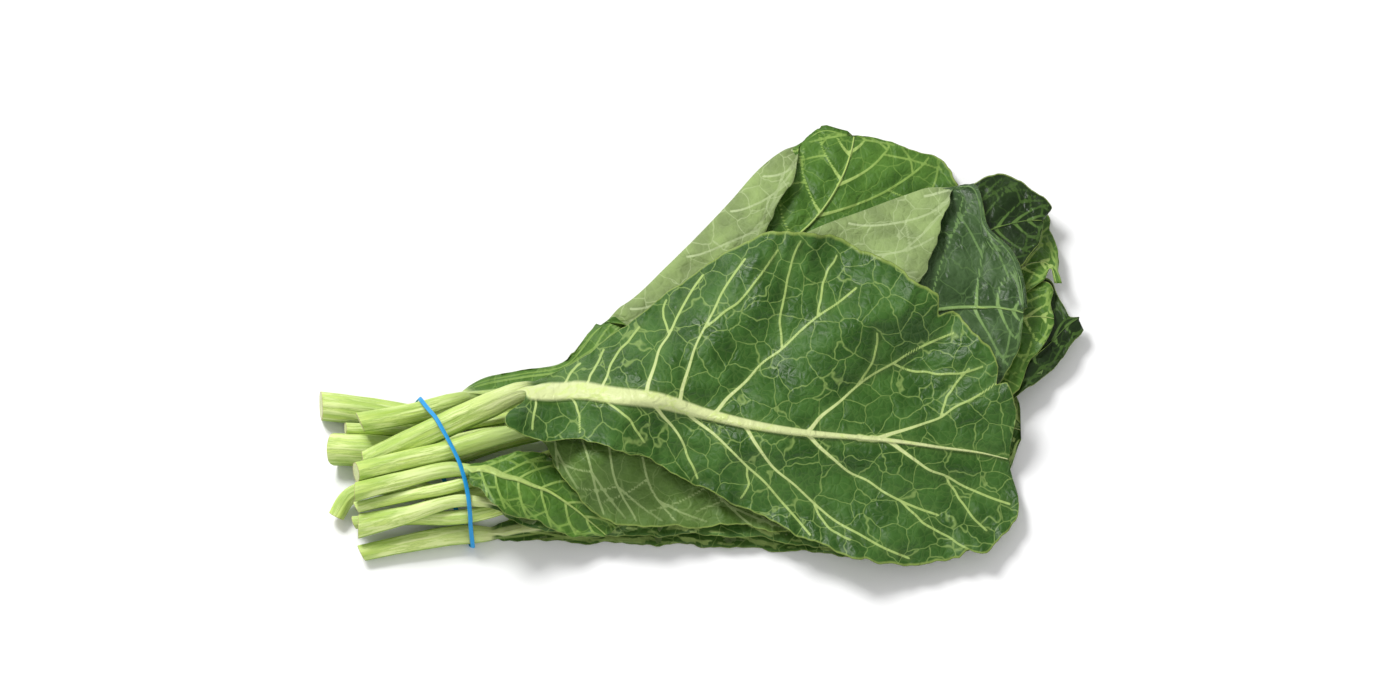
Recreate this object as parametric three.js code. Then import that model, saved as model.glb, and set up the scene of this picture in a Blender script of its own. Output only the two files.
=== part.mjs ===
// A bunch of collard greens lying on a table, tied round its stems with a rubber band.
// Twelve leaves, each grown as one piece from cut stem to tip, and the band. Millimetres, +Z up.
import * as THREE from 'three';

// ---- driving dimensions --------------------------------------------------------------------
// Outlines are drawn on a slanted sheet, as seen by someone looking down on the table at
// SHEET_TILT. A sheet point (u, v) that lies z above the table is placed by toWorld().
const SHEET_TILT = THREE.MathUtils.degToRad(58);
const SHIFT_X = -135.5;           // moves the bunch so that its box is centred on the origin
const SHIFT_Y = -118.2;
const BLADE = 0.9;                // thickness of a leaf blade
const FLOOR_GAP = 0.05;           // the lowest stems stop this far above the table
const LAYER_NEAR = 3.8;           // room between two leaves near the tie
const LAYER_FAR = 2.4;            // and out at the tips
const LAYER_U = [60, 290];        // where the room between leaves starts and stops shrinking
const DRAPE = 30;                 // a leaf slopes down over this width past the edge below it
const DRAPE_MARGIN = 8;           // starting this far outside that edge
const TENT_GAP = 2;               // room between a stem and a leaf that drapes over it
const TENT_WIDTH = 14;            // roundness of the drape over a stem
const TENT_SLOPE = 0.9;           // steepness of the drape beside a stem
const TENT_SHARPNESS = 0.4;       // how closely the drape follows the highest of several stems
const ROLL_RADIUS = 3.6;          // radius of the bend where a leaf is folded back on itself
const LEAST_FLAP = 4;             // a folded part narrower than this takes no room in the pile
const OPEN_FLAP = 14;             // and one wider than this is folded over fully
const CROWD = 0.6;                // keeps the faces of a fold apart where it narrows to nothing
const OUTLINE_STEPS = 40;         // points of a margin, and of a stem, when the pile is worked out
const STEM_STEPS = 3;             // sections from one stem point to the next
const BLADE_STEPS = 1.5;          // and from one midrib point to the next
const RIB_NARROWS = [1, 0.8, 0.6, 0.45, 0.3];   // how the midrib narrows along the blade
const RIB_TIP = 0.12;             // its width at the tip, as a share of its width at the stem
const RIB_ROOM = 0.6;             // the share of the way to the margin that it may take
const RIDGE_TIP = 0.25;           // its height at the tip, as a share of its height at the stem
const STEM_NARROWS = 0.75;        // how far the stem narrows from its last point to the blade
const LEAN_REACH = 40;            // how far from the midrib the blade follows a lifted stem
const BAND_WIDTH = 3.2;
const BAND_THICK = 0.9;
const BAND_GAP = 0.5;
const BAND_LINE = { x: 15.5, slope: -0.37 };   // the band's plane: x = 15.5 - 0.37 y
const BAND_STEPS = 72;

// In point numbers along a leaf, counted from the cut end:
const SOLID_END = 0.6;            // other leaves drape over a stem up to this far before the blade
const OPENS_BEFORE = 0.25;        // the round stem starts to open into the blade this far before it
const OPENS_OVER = 0.85;          // and takes this long to open
const RISE_OVER = 1.6;            // the stem's height eases into the pile's height over this length
const LOOK = 0.15;                // a section's direction is taken between points this far off
const SEARCH_STEP = 0.02;         // steps of the search for where a stem crosses the band

// ---- leaves, from the bottom of the bunch to the top ----------------------------------------
// stem: u, v, z and radius, from the cut end to where the blade starts.
// rib, left, right: the midrib and the two margins of the blade, point for point.
// flap: where the left side is folded back over itself, the margin of the folded part.
// ridge: height and depth of the midrib at its base. wave: height and length of the undulation.
// dome: extra height, and its centre and radius, where the leaf stands up from the pile.
// spare: extra room above the leaf, where the one above bends sharply.
// press: how far the weight of the pile presses the leaf flat onto the table.
const LEAVES = [
  {
    name: 'bottom_leaf', colour: 0x2f5f2b, press: 0.8, ridge: [2.2, 0], wave: [1.2, 70, 0.4], split: 3,
    stem: [[-43, -3, 4.6, 4.4], [-19, 2, 5.6, 4.8], [15, 7, 6.7, 5.2]],
    rib: [[25, 7], [42, 10], [66, 12], [98, 13], [135, 15], [172, 15], [204, 14], [233, 12], [260, 8], [279, 3]],
    left: [[26, 10], [46, 21], [77, 29], [114, 37], [156, 42], [193, 45], [225, 40], [252, 32], [273, 21], [281, 5]],
    right: [[25, 4], [39, 4], [64, 3], [98, 2], [135, 1], [170, -1], [201, -3], [231, -6], [256, -5], [277, -1]],
  },
  {
    name: 'hidden_leaf', colour: 0x356a2e, ridge: [1.4, 1.6], wave: [2, 80, 1.3], split: 3,
    stem: [[-47, 13, 6, 3.4], [-22, 15, 9.5, 3.5], [15, 17, 19, 3.8], [45, 25, 12, 3.4], [66, 32, 8, 2.6]],
    rib: [[93, 40], [130, 48], [167, 53], [204, 58], [236, 62], [262, 64], [284, 64], [297, 63], [305, 61]],
    left: [[94, 42], [138, 64], [180, 77], [223, 90], [257, 101], [282, 99], [298, 90], [304, 78], [305, 64]],
    right: [[92, 38], [127, 29], [164, 21], [201, 16], [236, 13], [265, 19], [286, 26], [298, 40], [305, 56]],
  },
  {
    name: 'front_leaf', colour: 0x3a7031, ridge: [1.4, 1.6], wave: [2, 64, 2.2], split: 3,
    stem: [[-45, 11, 14, 6.4], [-19, 17, 20, 4.6], [12, 25, 26, 3.4]],
    rib: [[24, 24], [45, 22], [72, 22], [103, 24], [135, 24], [167, 24], [199, 22], [225, 17], [244, 11], [257, 5]],
    left: [[25, 26], [50, 32], [82, 40], [119, 48], [154, 50], [188, 48], [217, 40], [238, 29], [249, 19], [258, 7]],
    right: [[23, 22], [40, 14], [61, 8], [93, 6], [130, 7], [167, 5], [199, 0], [223, -3], [240, -2], [256, 3]],
  },
  {
    name: 'corner_leaf', colour: 0x2c5727, ridge: [1.4, 1.8], wave: [2, 90, 0.9], split: 3,
    dome: [9, 312, 106, 42],
    stem: [[-68, 74, 7.6, 7.6], [-40, 71, 8, 7.4], [-12, 67, 8.7, 7.2], [40, 73, 7, 5.5], [87, 80, 5, 3.4]],
    rib: [[135, 87], [172, 86], [209, 85], [246, 85], [278, 89], [299, 94], [314, 101], [324, 109], [331, 116],
      [337, 120]],
    left: [[136, 90], [180, 103], [223, 114], [262, 127], [294, 138], [313, 143], [322, 141], [329, 128],
      [335, 121], [338, 121]],
    right: [[134, 85], [172, 74], [209, 64], [246, 61], [273, 64], [294, 72], [306, 81], [320, 91], [332, 104],
      [340, 114]],
  },
  {
    name: 'inner_leaf', colour: 0x3b7033, ridge: [1.4, 1.6], wave: [2, 75, 3.1], split: 3,
    stem: [[-56, 15, 5, 4.2], [-50, 25, 8, 4.5], [-24, 32, 8, 4.5], [5, 26, 7, 4.5], [40, 34, 7, 4.2],
      [72, 45, 6, 3]],
    rib: [[103, 56], [140, 64], [178, 74], [215, 89], [246, 101], [273, 110], [294, 117], [310, 121], [319, 121],
      [324, 120]],
    left: [[104, 58], [148, 80], [191, 101], [233, 119], [270, 132], [297, 139], [315, 141], [324, 136],
      [323, 128], [324, 122]],
    right: [[102, 54], [135, 48], [175, 53], [215, 58], [249, 64], [278, 69], [302, 80], [310, 97], [319, 107],
      [324, 117]],
  },
  {
    name: 'back_leaf', colour: 0x3f7a35, ridge: [2.4, 2.4], wave: [2.4, 95, 0.2], split: 4,
    dome: [16, 190, 190, 62],
    stem: [[-45, 65, 26, 5.3], [-26, 68, 24, 5.3], [-11, 71, 22, 5.3], [3, 75, 22, 5]],
    rib: [[13, 78], [40, 82], [72, 90], [103, 106], [130, 125], [154, 142], [175, 156], [189, 166], [199, 176],
      [208, 189], [215, 204], [218, 214], [219, 219]],
    left: [[5, 84], [40, 90], [64, 95], [82, 115], [101, 127], [120, 145], [139, 164], [155, 181], [170, 198],
      [183, 209], [191, 215], [202, 222], [215, 220]],
    flap: [[5, 84], [40, 90], [64, 95], [82, 115], [114, 114], [138, 132], [161, 153], [171, 168], [179, 185],
      [188, 201], [192, 214], [202, 222], [215, 220]],
    right: [[18, 76], [44, 79], [76, 86], [118, 94], [178, 98], [220, 119], [252, 146], [272, 170], [276, 188],
      [269, 204], [249, 213], [233, 218], [221, 220]],
  },
  {
    name: 'torn_leaf', colour: 0x3b7033, ridge: [1.2, 1], wave: [1.6, 90, 1.9], split: 4,
    stem: [[-45, 21, 20, 3], [-19, 27, 24, 3.2], [10, 33, 28, 3.4], [28, 39, 22, 3.2], [61, 50, 13, 2.4]],
    rib: [[103, 64], [135, 74], [172, 89], [209, 103], [244, 118], [270, 130], [289, 138], [304, 145], [314, 150],
      [321, 150], [324, 147], [326, 139]],
    left: [[104, 66], [146, 87], [188, 114], [231, 138], [268, 159], [297, 175], [315, 183], [325, 176],
      [324, 168], [328, 156], [328, 148], [329, 139]],
    right: [[102, 61], [130, 64], [172, 66], [215, 74], [252, 90], [276, 106], [294, 120], [306, 130], [314, 138],
      [320, 142], [323, 147], [325, 139]],
  },
  {
    name: 'curling_leaf', colour: 0x274f26, spare: 1.5, ridge: [1.4, 1.2], wave: [2, 90, 0.6], split: 4,
    dome: [13, 306, 186, 46],
    stem: [[-53, 62, 12, 3], [-29, 61, 12, 3], [-8, 60, 12.5, 3], [12, 64, 15, 2.8], [29, 67, 17, 2.8],
      [66, 76, 16, 2.5]],
    rib: [[103, 91], [146, 107], [188, 125], [225, 140], [254, 153], [276, 162], [289, 167], [298, 170],
      [306, 172], [313, 173], [319, 173]],
    left: [[104, 93], [154, 125], [201, 156], [244, 180], [273, 188], [286, 195], [299, 198], [311, 193],
      [320, 186], [324, 180], [321, 174]],
    right: [[102, 89], [146, 90], [196, 98], [241, 109], [270, 119], [289, 130], [299, 142], [307, 149],
      [313, 156], [318, 163], [320, 171]],
  },
  {
    name: 'folded_leaf', colour: 0x3c6a3a, ridge: [1.8, 2.2], wave: [2.4, 90, 2.6], split: 4,
    stem: [[-61, 51, 9, 8.4], [-32, 50, 9.2, 8.3], [-4, 49, 9.7, 8.1], [29, 57, 10, 7], [61, 64, 10, 5.4]],
    rib: [[82, 73], [103, 79], [130, 87], [156, 95], [186, 103], [215, 112], [238, 119], [258, 124], [274, 126],
      [285, 126], [293, 126], [299, 125], [304, 124], [307, 123]],
    left: [[83, 75], [109, 92], [140, 117], [167, 143], [186, 158], [202, 166], [221, 173], [245, 182], [271, 190],
      [280, 191], [288, 168], [301, 154], [306, 138], [307, 126]],
    flap: [[83, 75], [109, 92], [140, 117], [183, 130], [220, 130], [254, 142], [261, 162], [268, 179], [272, 188],
      [280, 191], [288, 168], [301, 154], [306, 138], [307, 126]],
    right: [[81, 70], [103, 69], [130, 66], [162, 64], [193, 62], [225, 61], [249, 62], [268, 66], [284, 74],
      [293, 85], [298, 92], [303, 102], [306, 113], [307, 121]],
  },
  {
    name: 'small_leaf', colour: 0x3f7a35, ridge: [1.6, 1.2], wave: [1.6, 40, 1.1], split: 3,
    stem: [[-46, 29, 29, 5], [-22, 35, 28.8, 4.4], [6, 41, 31, 4.2]],
    rib: [[15, 41], [21, 42], [26, 41], [33, 38], [41, 36], [48, 33], [56, 30], [64, 25], [72, 19], [79, 13],
      [86, 7]],
    left: [[16, 44], [23, 46], [32, 48], [41, 50], [50, 50], [60, 47], [70, 42], [80, 34], [89, 24], [93, 14],
      [89, 8]],
    right: [[14, 38], [16, 34], [21, 31], [25, 26], [33, 21], [42, 16], [51, 14], [59, 10], [68, 7], [77, 6],
      [85, 6]],
  },
  {
    name: 'underside_leaf', colour: 0x6f9a55, spare: 1, ridge: [1.2, 1], wave: [1.8, 60, 2.8], split: 3,
    stem: [[-46, 39, 29, 5.4], [-22, 45, 31, 5.2], [1, 50, 31, 5.2], [24, 57, 33, 5]],
    rib: [[42, 61], [56, 63], [69, 63], [83, 62], [97, 61], [114, 58], [132, 54], [156, 47], [183, 38], [209, 28],
      [231, 17]],
    left: [[44, 64], [61, 69], [82, 76], [103, 79], [130, 79], [156, 75], [183, 66], [204, 56], [220, 44],
      [231, 31], [232, 19]],
    right: [[45, 58], [54, 56], [59, 43], [72, 28], [84, 15], [103, 12], [130, 11], [156, 12], [183, 8], [209, 8],
      [229, 16]],
  },
  {
    name: 'top_leaf', colour: 0x35702f, ridge: [3.6, 3.2], wave: [2.4, 85, 1.7], split: 4,
    stem: [[-43, 43, 20, 6.4], [-24, 52, 25.5, 6.5], [-5, 61, 31, 6.6], [12, 69, 33, 6.7], [26, 75, 35, 6.8]],
    rib: [[43, 82], [61, 82], [74, 82], [88, 80], [113, 77], [138, 70], [164, 64], [190, 60], [213, 58], [235, 56],
      [263, 52], [284, 49], [297, 46]],
    left: [[45, 85], [64, 94], [82, 106], [103, 122], [135, 146], [170, 165], [204, 164], [228, 154], [254, 138],
      [274, 120], [292, 97], [301, 74], [298, 47]],
    right: [[42, 78], [34, 67], [45, 58], [70, 57], [104, 48], [137, 31], [165, 18], [196, 3], [228, -8],
      [256, -7], [284, -1], [301, 16], [298, 45]],
  },
];

// ---- small helpers ---------------------------------------------------------------------------
const clamp01 = (x) => Math.min(1, Math.max(0, x));
const smooth = (x) => clamp01(x) ** 2 * (3 - 2 * clamp01(x));
const mix = (a, b, t) => a + (b - a) * t;
const mixPoint = (a, b, t) => a.map((x, i) => mix(x, b[i], t));
const gap = (a, b) => Math.hypot(a[0] - b[0], a[1] - b[1]);

function toWorld(u, v, z) {
  const y = (v - z * Math.cos(SHEET_TILT)) / Math.sin(SHEET_TILT);
  return new THREE.Vector3(u + SHIFT_X, y + SHIFT_Y, z);
}

// A smooth curve through the points, read at a whole or fractional point number. The slope at
// each point is weighed by the distance to its neighbours, so uneven spacing doesn't overshoot.
function curve(points) {
  const last = points.length - 1;
  const step = points.map((p, i) => (i < last ? Math.max(gap(p, points[i + 1]), 0.5) : 1));
  const slope = points.map((p, i) => {
    if (i === 0) return p.map((x, k) => (points[1][k] - x) / step[0]);
    if (i === last) return p.map((x, k) => (x - points[last - 1][k]) / step[last - 1]);
    const before = step[i - 1];
    const after = step[i];
    return p.map((x, k) => {
      const rise = ((x - points[i - 1][k]) / before) * after + ((points[i + 1][k] - x) / after) * before;
      return rise / (before + after);
    });
  });
  return (at) => {
    const i = Math.min(last - 1, Math.max(0, Math.floor(at)));
    const t = at - i;
    const h = step[i];
    const t2 = t * t;
    const t3 = t2 * t;
    return points[i].map((x, k) => (2 * t3 - 3 * t2 + 1) * x + (t3 - 2 * t2 + t) * h * slope[i][k]
      + (3 * t2 - 2 * t3) * points[i + 1][k] + (t3 - t2) * h * slope[i + 1][k]);
  };
}

// Distance from (u, v) to a chain of points, with the place on it: [distance, point number].
function nearest(chain, u, v) {
  let best = [Infinity, 0];
  for (let i = 0; i + 1 < chain.length; i += 1) {
    const [au, av] = chain[i];
    const du = chain[i + 1][0] - au;
    const dv = chain[i + 1][1] - av;
    const t = clamp01(((u - au) * du + (v - av) * dv) / (du * du + dv * dv || 1));
    const d = Math.hypot(u - au - t * du, v - av - t * dv);
    if (d < best[0]) best = [d, i + t];
  }
  return best;
}

function inside(loop, u, v) {
  let hit = false;
  for (let i = 0, j = loop.length - 1; i < loop.length; j = i, i += 1) {
    const [au, av] = loop[i];
    const [bu, bv] = loop[j];
    if ((av > v) !== (bv > v) && u < ((bu - au) * (v - av)) / (bv - av) + au) hit = !hit;
  }
  return hit;
}

// 1 on the loop's own area, falling to 0 over the width of the drape outside it.
function footprint(loop, u, v) {
  if (inside(loop, u, v)) return 1;
  return 1 - smooth((nearest([...loop, loop[0]], u, v)[0] - DRAPE_MARGIN) / DRAPE);
}

// ---- the pile: how high each leaf lies --------------------------------------------------------
const layerRoom = (u) => mix(LAYER_NEAR, LAYER_FAR, smooth((u - LAYER_U[0]) / (LAYER_U[1] - LAYER_U[0])));

function ownRelief(leaf, u, v) {
  const [height, length, phase] = leaf.wave;
  const k = (2 * Math.PI) / length;
  const ripple = Math.sin(k * u + phase) * Math.cos(k * 0.8 * v + 2 * phase);
  let relief = 0.5 * height * (1 + ripple);
  if (leaf.dome) {
    const [rise, du, dv, radius] = leaf.dome;
    relief += rise * Math.exp(-(((u - du) / radius) ** 2) - ((v - dv) / radius) ** 2);
  }
  return relief;
}

// Leaves drape over the stems below them, as cloth over a pole.
function drapeOver(tubes, u, v) {
  let sum = 1;
  for (const tube of tubes) {
    const [distance, at] = nearest(tube, u, v);
    const i = Math.min(tube.length - 2, Math.floor(at));
    const [, , z, r] = mixPoint(tube[i], tube[i + 1], at - i);
    const drop = TENT_SLOPE * (Math.hypot(distance, TENT_WIDTH) - TENT_WIDTH);
    sum += Math.exp(TENT_SHARPNESS * (z + r + TENT_GAP - drop));
  }
  return Math.log(sum) / TENT_SHARPNESS;
}

function rawHeight(index, u, v) {
  const leaf = LEAVES[index];
  const tubes = LEAVES.slice(0, index).map((below) => below.tube);
  let z = drapeOver(tubes, u, v) + BLADE + leaf.ridge[1] * 0.5 + ownRelief(leaf, u, v) - (leaf.press ?? 0);
  for (const below of LEAVES.slice(0, index)) {
    const room = layerRoom(u) + ownRelief(below, u, v) + (below.spare ?? 0);
    z += room * footprint(below.outline, u, v);
    if (below.flapOutline) z += (2 * ROLL_RADIUS + layerRoom(u)) * footprint(below.flapOutline, u, v);
  }
  return z;
}

// The pile settles into soft shapes: each leaf's height is worked out on a grid, rounded off by
// averaging neighbours, and read back between the grid's points. Averaging keeps the leaves in order.
const GRID = { u: -20, v: -24, step: 4, columns: 95, rows: 68 };
const ROUND_OFF = 5;              // passes of averaging

function settle(index) {
  const { columns, rows, step } = GRID;
  let grid = [];
  for (let j = 0; j < rows; j += 1) {
    for (let i = 0; i < columns; i += 1) grid.push(rawHeight(index, GRID.u + i * step, GRID.v + j * step));
  }
  const weights = [1, 2, 1];
  const pass = (values, stride, count, place) => values.map((_, k) => {
    let sum = 0;
    weights.forEach((w, n) => {
      const shift = Math.min(count - 1, Math.max(0, place(k) + n - 1)) - place(k);
      sum += w * values[k + shift * stride];
    });
    return sum / 4;
  });
  for (let n = 0; n < ROUND_OFF; n += 1) {
    grid = pass(grid, 1, columns, (k) => k % columns);
    grid = pass(grid, columns, rows, (k) => Math.floor(k / columns));
  }
  return grid;
}

function heightOf(index, u, v) {
  const leaf = LEAVES[index];
  leaf.heights ??= settle(index);
  const x = Math.min(GRID.columns - 1.001, Math.max(0, (u - GRID.u) / GRID.step));
  const y = Math.min(GRID.rows - 1.001, Math.max(0, (v - GRID.v) / GRID.step));
  const i = Math.floor(x);
  const j = Math.floor(y);
  const at = (a, b) => leaf.heights[(j + b) * GRID.columns + i + a];
  return mix(mix(at(0, 0), at(1, 0), x - i), mix(at(0, 1), at(1, 1), x - i), y - j);
}

// ---- one leaf as a closed loft ----------------------------------------------------------------
const ribTaper = curve(RIB_NARROWS.map((share, i) => [i / (RIB_NARROWS.length - 1), share]));

function prepare(leaf, index) {
  const line = [...leaf.stem.map(([u, v]) => [u, v]), ...leaf.rib];
  leaf.bladeFrom = leaf.stem.length;
  leaf.centre = curve(line);
  leaf.profile = curve(leaf.stem);
  leaf.leftCurve = curve(leaf.left);
  leaf.rightCurve = curve(leaf.right);
  leaf.flapCurve = leaf.flap ? curve(leaf.flap) : null;
  const shares = Array.from({ length: OUTLINE_STEPS + 1 }, (_, k) => k / OUTLINE_STEPS);
  const places = shares.map((share) => share * (leaf.rib.length - 1));
  leaf.outline = [...places.map(leaf.leftCurve), ...places.map(leaf.rightCurve).reverse()];
  if (leaf.flap) {
    const open = places.filter((at) => gap(leaf.leftCurve(at), leaf.flapCurve(at)) > LEAST_FLAP);
    leaf.flapOutline = [...open.map(leaf.leftCurve), ...open.map(leaf.flapCurve).reverse()];
  }
  leaf.tube = shares.map((share) => {
    const t = share * (leaf.bladeFrom - SOLID_END);
    const [u, v] = leaf.centre(t);
    return [u, v, centreHeight(leaf, index, t), stemRadius(leaf, t)];
  });
}

const lastRadius = (leaf) => leaf.stem[leaf.stem.length - 1][3];

function stemRadius(leaf, t) {
  const last = leaf.stem.length - 1;
  return t <= last ? leaf.profile(t)[3] : lastRadius(leaf) * mix(1, STEM_NARROWS, clamp01(t - last));
}

// The stem's own height near the tie, easing into the height of the pile along the blade.
function centreHeight(leaf, index, t) {
  const last = leaf.stem.length - 1;
  const own = t <= last ? leaf.profile(t)[2] : leaf.stem[last][2];
  const ease = smooth((t - last) / RISE_OVER);
  if (ease === 0) return own;
  const [u, v] = leaf.centre(t);
  return mix(own, heightOf(index, u, v), ease);
}

function section(leaf, index, t) {
  const last = leaf.bladeFrom;
  const [u, v] = leaf.centre(t);
  const z = centreHeight(leaf, index, t);
  const here = toWorld(u, v, z);
  const ahead = Math.min(t + LOOK, last + leaf.rib.length - 1);
  const behind = Math.max(t - LOOK, 0);
  const front = toWorld(...leaf.centre(ahead), centreHeight(leaf, index, ahead));
  const back = toWorld(...leaf.centre(behind), centreHeight(leaf, index, behind));
  const forward = front.sub(back).normalize();
  const side = new THREE.Vector3(0, 0, 1).cross(forward).normalize();
  const up = forward.clone().cross(side);
  const grown = smooth((t - last + OPENS_BEFORE) / OPENS_OVER);
  const top = [];
  const under = [];
  const radius = stemRadius(leaf, Math.min(t, last));
  const samples = ringSamples(leaf);
  samples.forEach((sample, j) => {
    const angle = (Math.PI * (j + 0.5)) / samples.length;
    const round = (sign) => here.clone()
      .addScaledVector(side, Math.cos(angle) * radius)
      .addScaledVector(up, sign * Math.sin(angle) * radius);
    if (grown === 0) {
      top.push(round(1));
      under.push(round(-1));
      return;
    }
    const [a, b] = bladePoint(leaf, index, t, sample, z);
    top.push(round(1).lerp(a, grown));
    under.push(round(-1).lerp(b, grown));
  });
  const ring = [...top, ...under.reverse()];
  ring.forEach((point) => {
    point.z = Math.max(point.z, 0);
  });
  return ring;
}

// Places across the blade: [side, share of the way from midrib to margin], left margin first.
// On a folded leaf the left side runs out to the fold, round it, and back along the flap.
function ringSamples(leaf) {
  const shares = Array.from({ length: leaf.split }, (_, k) => (k + 1) / leaf.split);
  const left = shares.map((share) => ['left', share]).reverse();
  const right = shares.map((share) => ['right', share]);
  const rib = [['rib', 1], ['rib', 0], ['rib', -1]];
  if (!leaf.flap) return [...left, ...rib, ...right];
  const flap = [['flap', 1], ['flap', 0.5], ['flap', 0]];
  const bend = [['bend', 0.5]];
  return [...flap, ...bend, ...left, ...rib, ...right];
}

function bladePoint(leaf, index, t, [kind, share], centreZ) {
  const at = clamp01((t - leaf.bladeFrom) / (leaf.rib.length - 1)) * (leaf.rib.length - 1);
  const along = at / (leaf.rib.length - 1);
  const taper = ribTaper(along * (RIB_NARROWS.length - 1))[1];
  const half = stemRadius(leaf, leaf.bladeFrom) * mix(taper, RIB_TIP, along);
  const rib = leaf.centre(t);
  const leftEdge = leaf.leftCurve(at);
  const rightEdge = leaf.rightCurve(at);
  const span = Math.max(gap(leftEdge, rightEdge), 0.01);
  const across = [(leftEdge[0] - rightEdge[0]) / span, (leftEdge[1] - rightEdge[1]) / span];
  const lean = centreZ - heightOf(index, rib[0], rib[1]);
  const reachLeft = Math.min(half, RIB_ROOM * gap(rib, leftEdge));
  const reachRight = Math.min(half, RIB_ROOM * gap(rib, rightEdge));
  const shrink = mix(1, RIDGE_TIP, along);
  let [u, v] = rib;
  let lift = 0;
  let thick = BLADE;
  let turn = 0;
  let out = [0, 0];
  if (kind === 'rib') {
    const reach = share > 0 ? reachLeft : reachRight;
    u += across[0] * share * reach;
    v += across[1] * share * reach;
    if (share === 0) {
      lift = leaf.ridge[0] * shrink;
      thick += (leaf.ridge[0] + leaf.ridge[1]) * shrink;
    }
  }
  if (kind === 'left' || kind === 'right') {
    const edge = kind === 'left' ? leftEdge : rightEdge;
    const reach = kind === 'left' ? reachLeft : -reachRight;
    const start = [rib[0] + across[0] * reach, rib[1] + across[1] * reach];
    [u, v] = mixPoint(start, edge, share);
  }
  if (kind === 'flap' || kind === 'bend') {
    const margin = leaf.flapCurve(at);
    [u, v] = kind === 'flap' ? mixPoint(leftEdge, margin, share) : leftEdge;
    const width = gap(leftEdge, margin);
    const open = smooth(width / OPEN_FLAP);
    const before = leaf.leftCurve(Math.max(at - LOOK, 0));
    const after = leaf.leftCurve(Math.min(at + LOOK, leaf.rib.length - 1));
    const length = Math.max(gap(before, after), 0.01);
    out = [-(after[1] - before[1]) / length, (after[0] - before[0]) / length];
    turn = kind === 'flap' ? Math.PI : Math.PI / 2;
    lift = open * ROLL_RADIUS * (1 - Math.cos(turn));
    turn *= open;
    if (kind === 'bend') {
      u += out[0] * open * ROLL_RADIUS;
      v += out[1] * open * ROLL_RADIUS;
    }
    const crowd = CROWD * (1 - open) * (kind === 'flap' ? 2 + 2 * share : 1);
    u += out[0] * crowd;
    v += out[1] * crowd;
  }
  const z = heightOf(index, u, v) + lean * Math.exp(-gap([u, v], rib) / LEAN_REACH) + lift;
  const rise = Math.cos(turn) * thick;
  const slip = Math.sin(turn) * thick;
  const top = toWorld(u, v, Math.max(z, BLADE));
  const low = toWorld(u + out[0] * slip, v + out[1] * slip, z - rise);
  low.z = Math.max(low.z, 0);
  return [top, low];
}

// Both faces of the blade are split into triangles along the same diagonals, so that they stay
// parallel where the blade is twisted.
function loft(leaf, index) {
  const last = leaf.bladeFrom;
  const stations = [];
  for (let k = 0; k < last * STEM_STEPS; k += 1) stations.push(k / STEM_STEPS);
  const bladeSteps = Math.round((leaf.rib.length - 1) * BLADE_STEPS);
  for (let k = 0; k <= bladeSteps; k += 1) stations.push(last + (k / bladeSteps) * (leaf.rib.length - 1));
  const rings = stations.map((t) => section(leaf, index, t));
  const size = rings[0].length;
  const points = rings.flat();
  const faces = [];
  for (let s = 0; s + 1 < rings.length; s += 1) {
    for (let j = 0; j < size; j += 1) {
      const a = s * size + j;
      const b = s * size + ((j + 1) % size);
      if (j < size / 2) faces.push(a, b, a + size, b, b + size, a + size);
      else faces.push(a, b, b + size, a, b + size, a + size);
    }
  }
  const cap = (ring, start, flip) => {
    const middle = ring.reduce((sum, p) => sum.add(p), new THREE.Vector3()).divideScalar(size);
    const centre = points.push(middle) - 1;
    for (let j = 0; j < size; j += 1) {
      const a = start + j;
      const b = start + ((j + 1) % size);
      faces.push(...(flip ? [b, a, centre] : [a, b, centre]));
    }
  };
  cap(rings[0], 0, true);
  cap(rings[rings.length - 1], (rings.length - 1) * size, false);
  return solid(points, faces);
}

function solid(points, faces) {
  const geometry = new THREE.BufferGeometry();
  geometry.setAttribute('position', new THREE.Float32BufferAttribute(points.flatMap((p) => p.toArray()), 3));
  geometry.setIndex(faces);
  geometry.computeVertexNormals();
  return geometry;
}

// ---- the rubber band: a flat strip drawn tight round the outermost stems -----------------------
// A stem that crosses the band's plane at a slant shows an oval there, wider than it is high.
function skew(leaf, t) {
  const [behind, ahead] = [leaf.profile(Math.max(t - LOOK, 0)), leaf.profile(t + LOOK)];
  const [a, b] = [behind, ahead].map(([u, v, z]) => toWorld(u, v, z));
  const along = b.sub(a).normalize();
  const normal = new THREE.Vector3(1, -BAND_LINE.slope, 0).normalize();
  return 1 / along.dot(normal);
}

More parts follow.
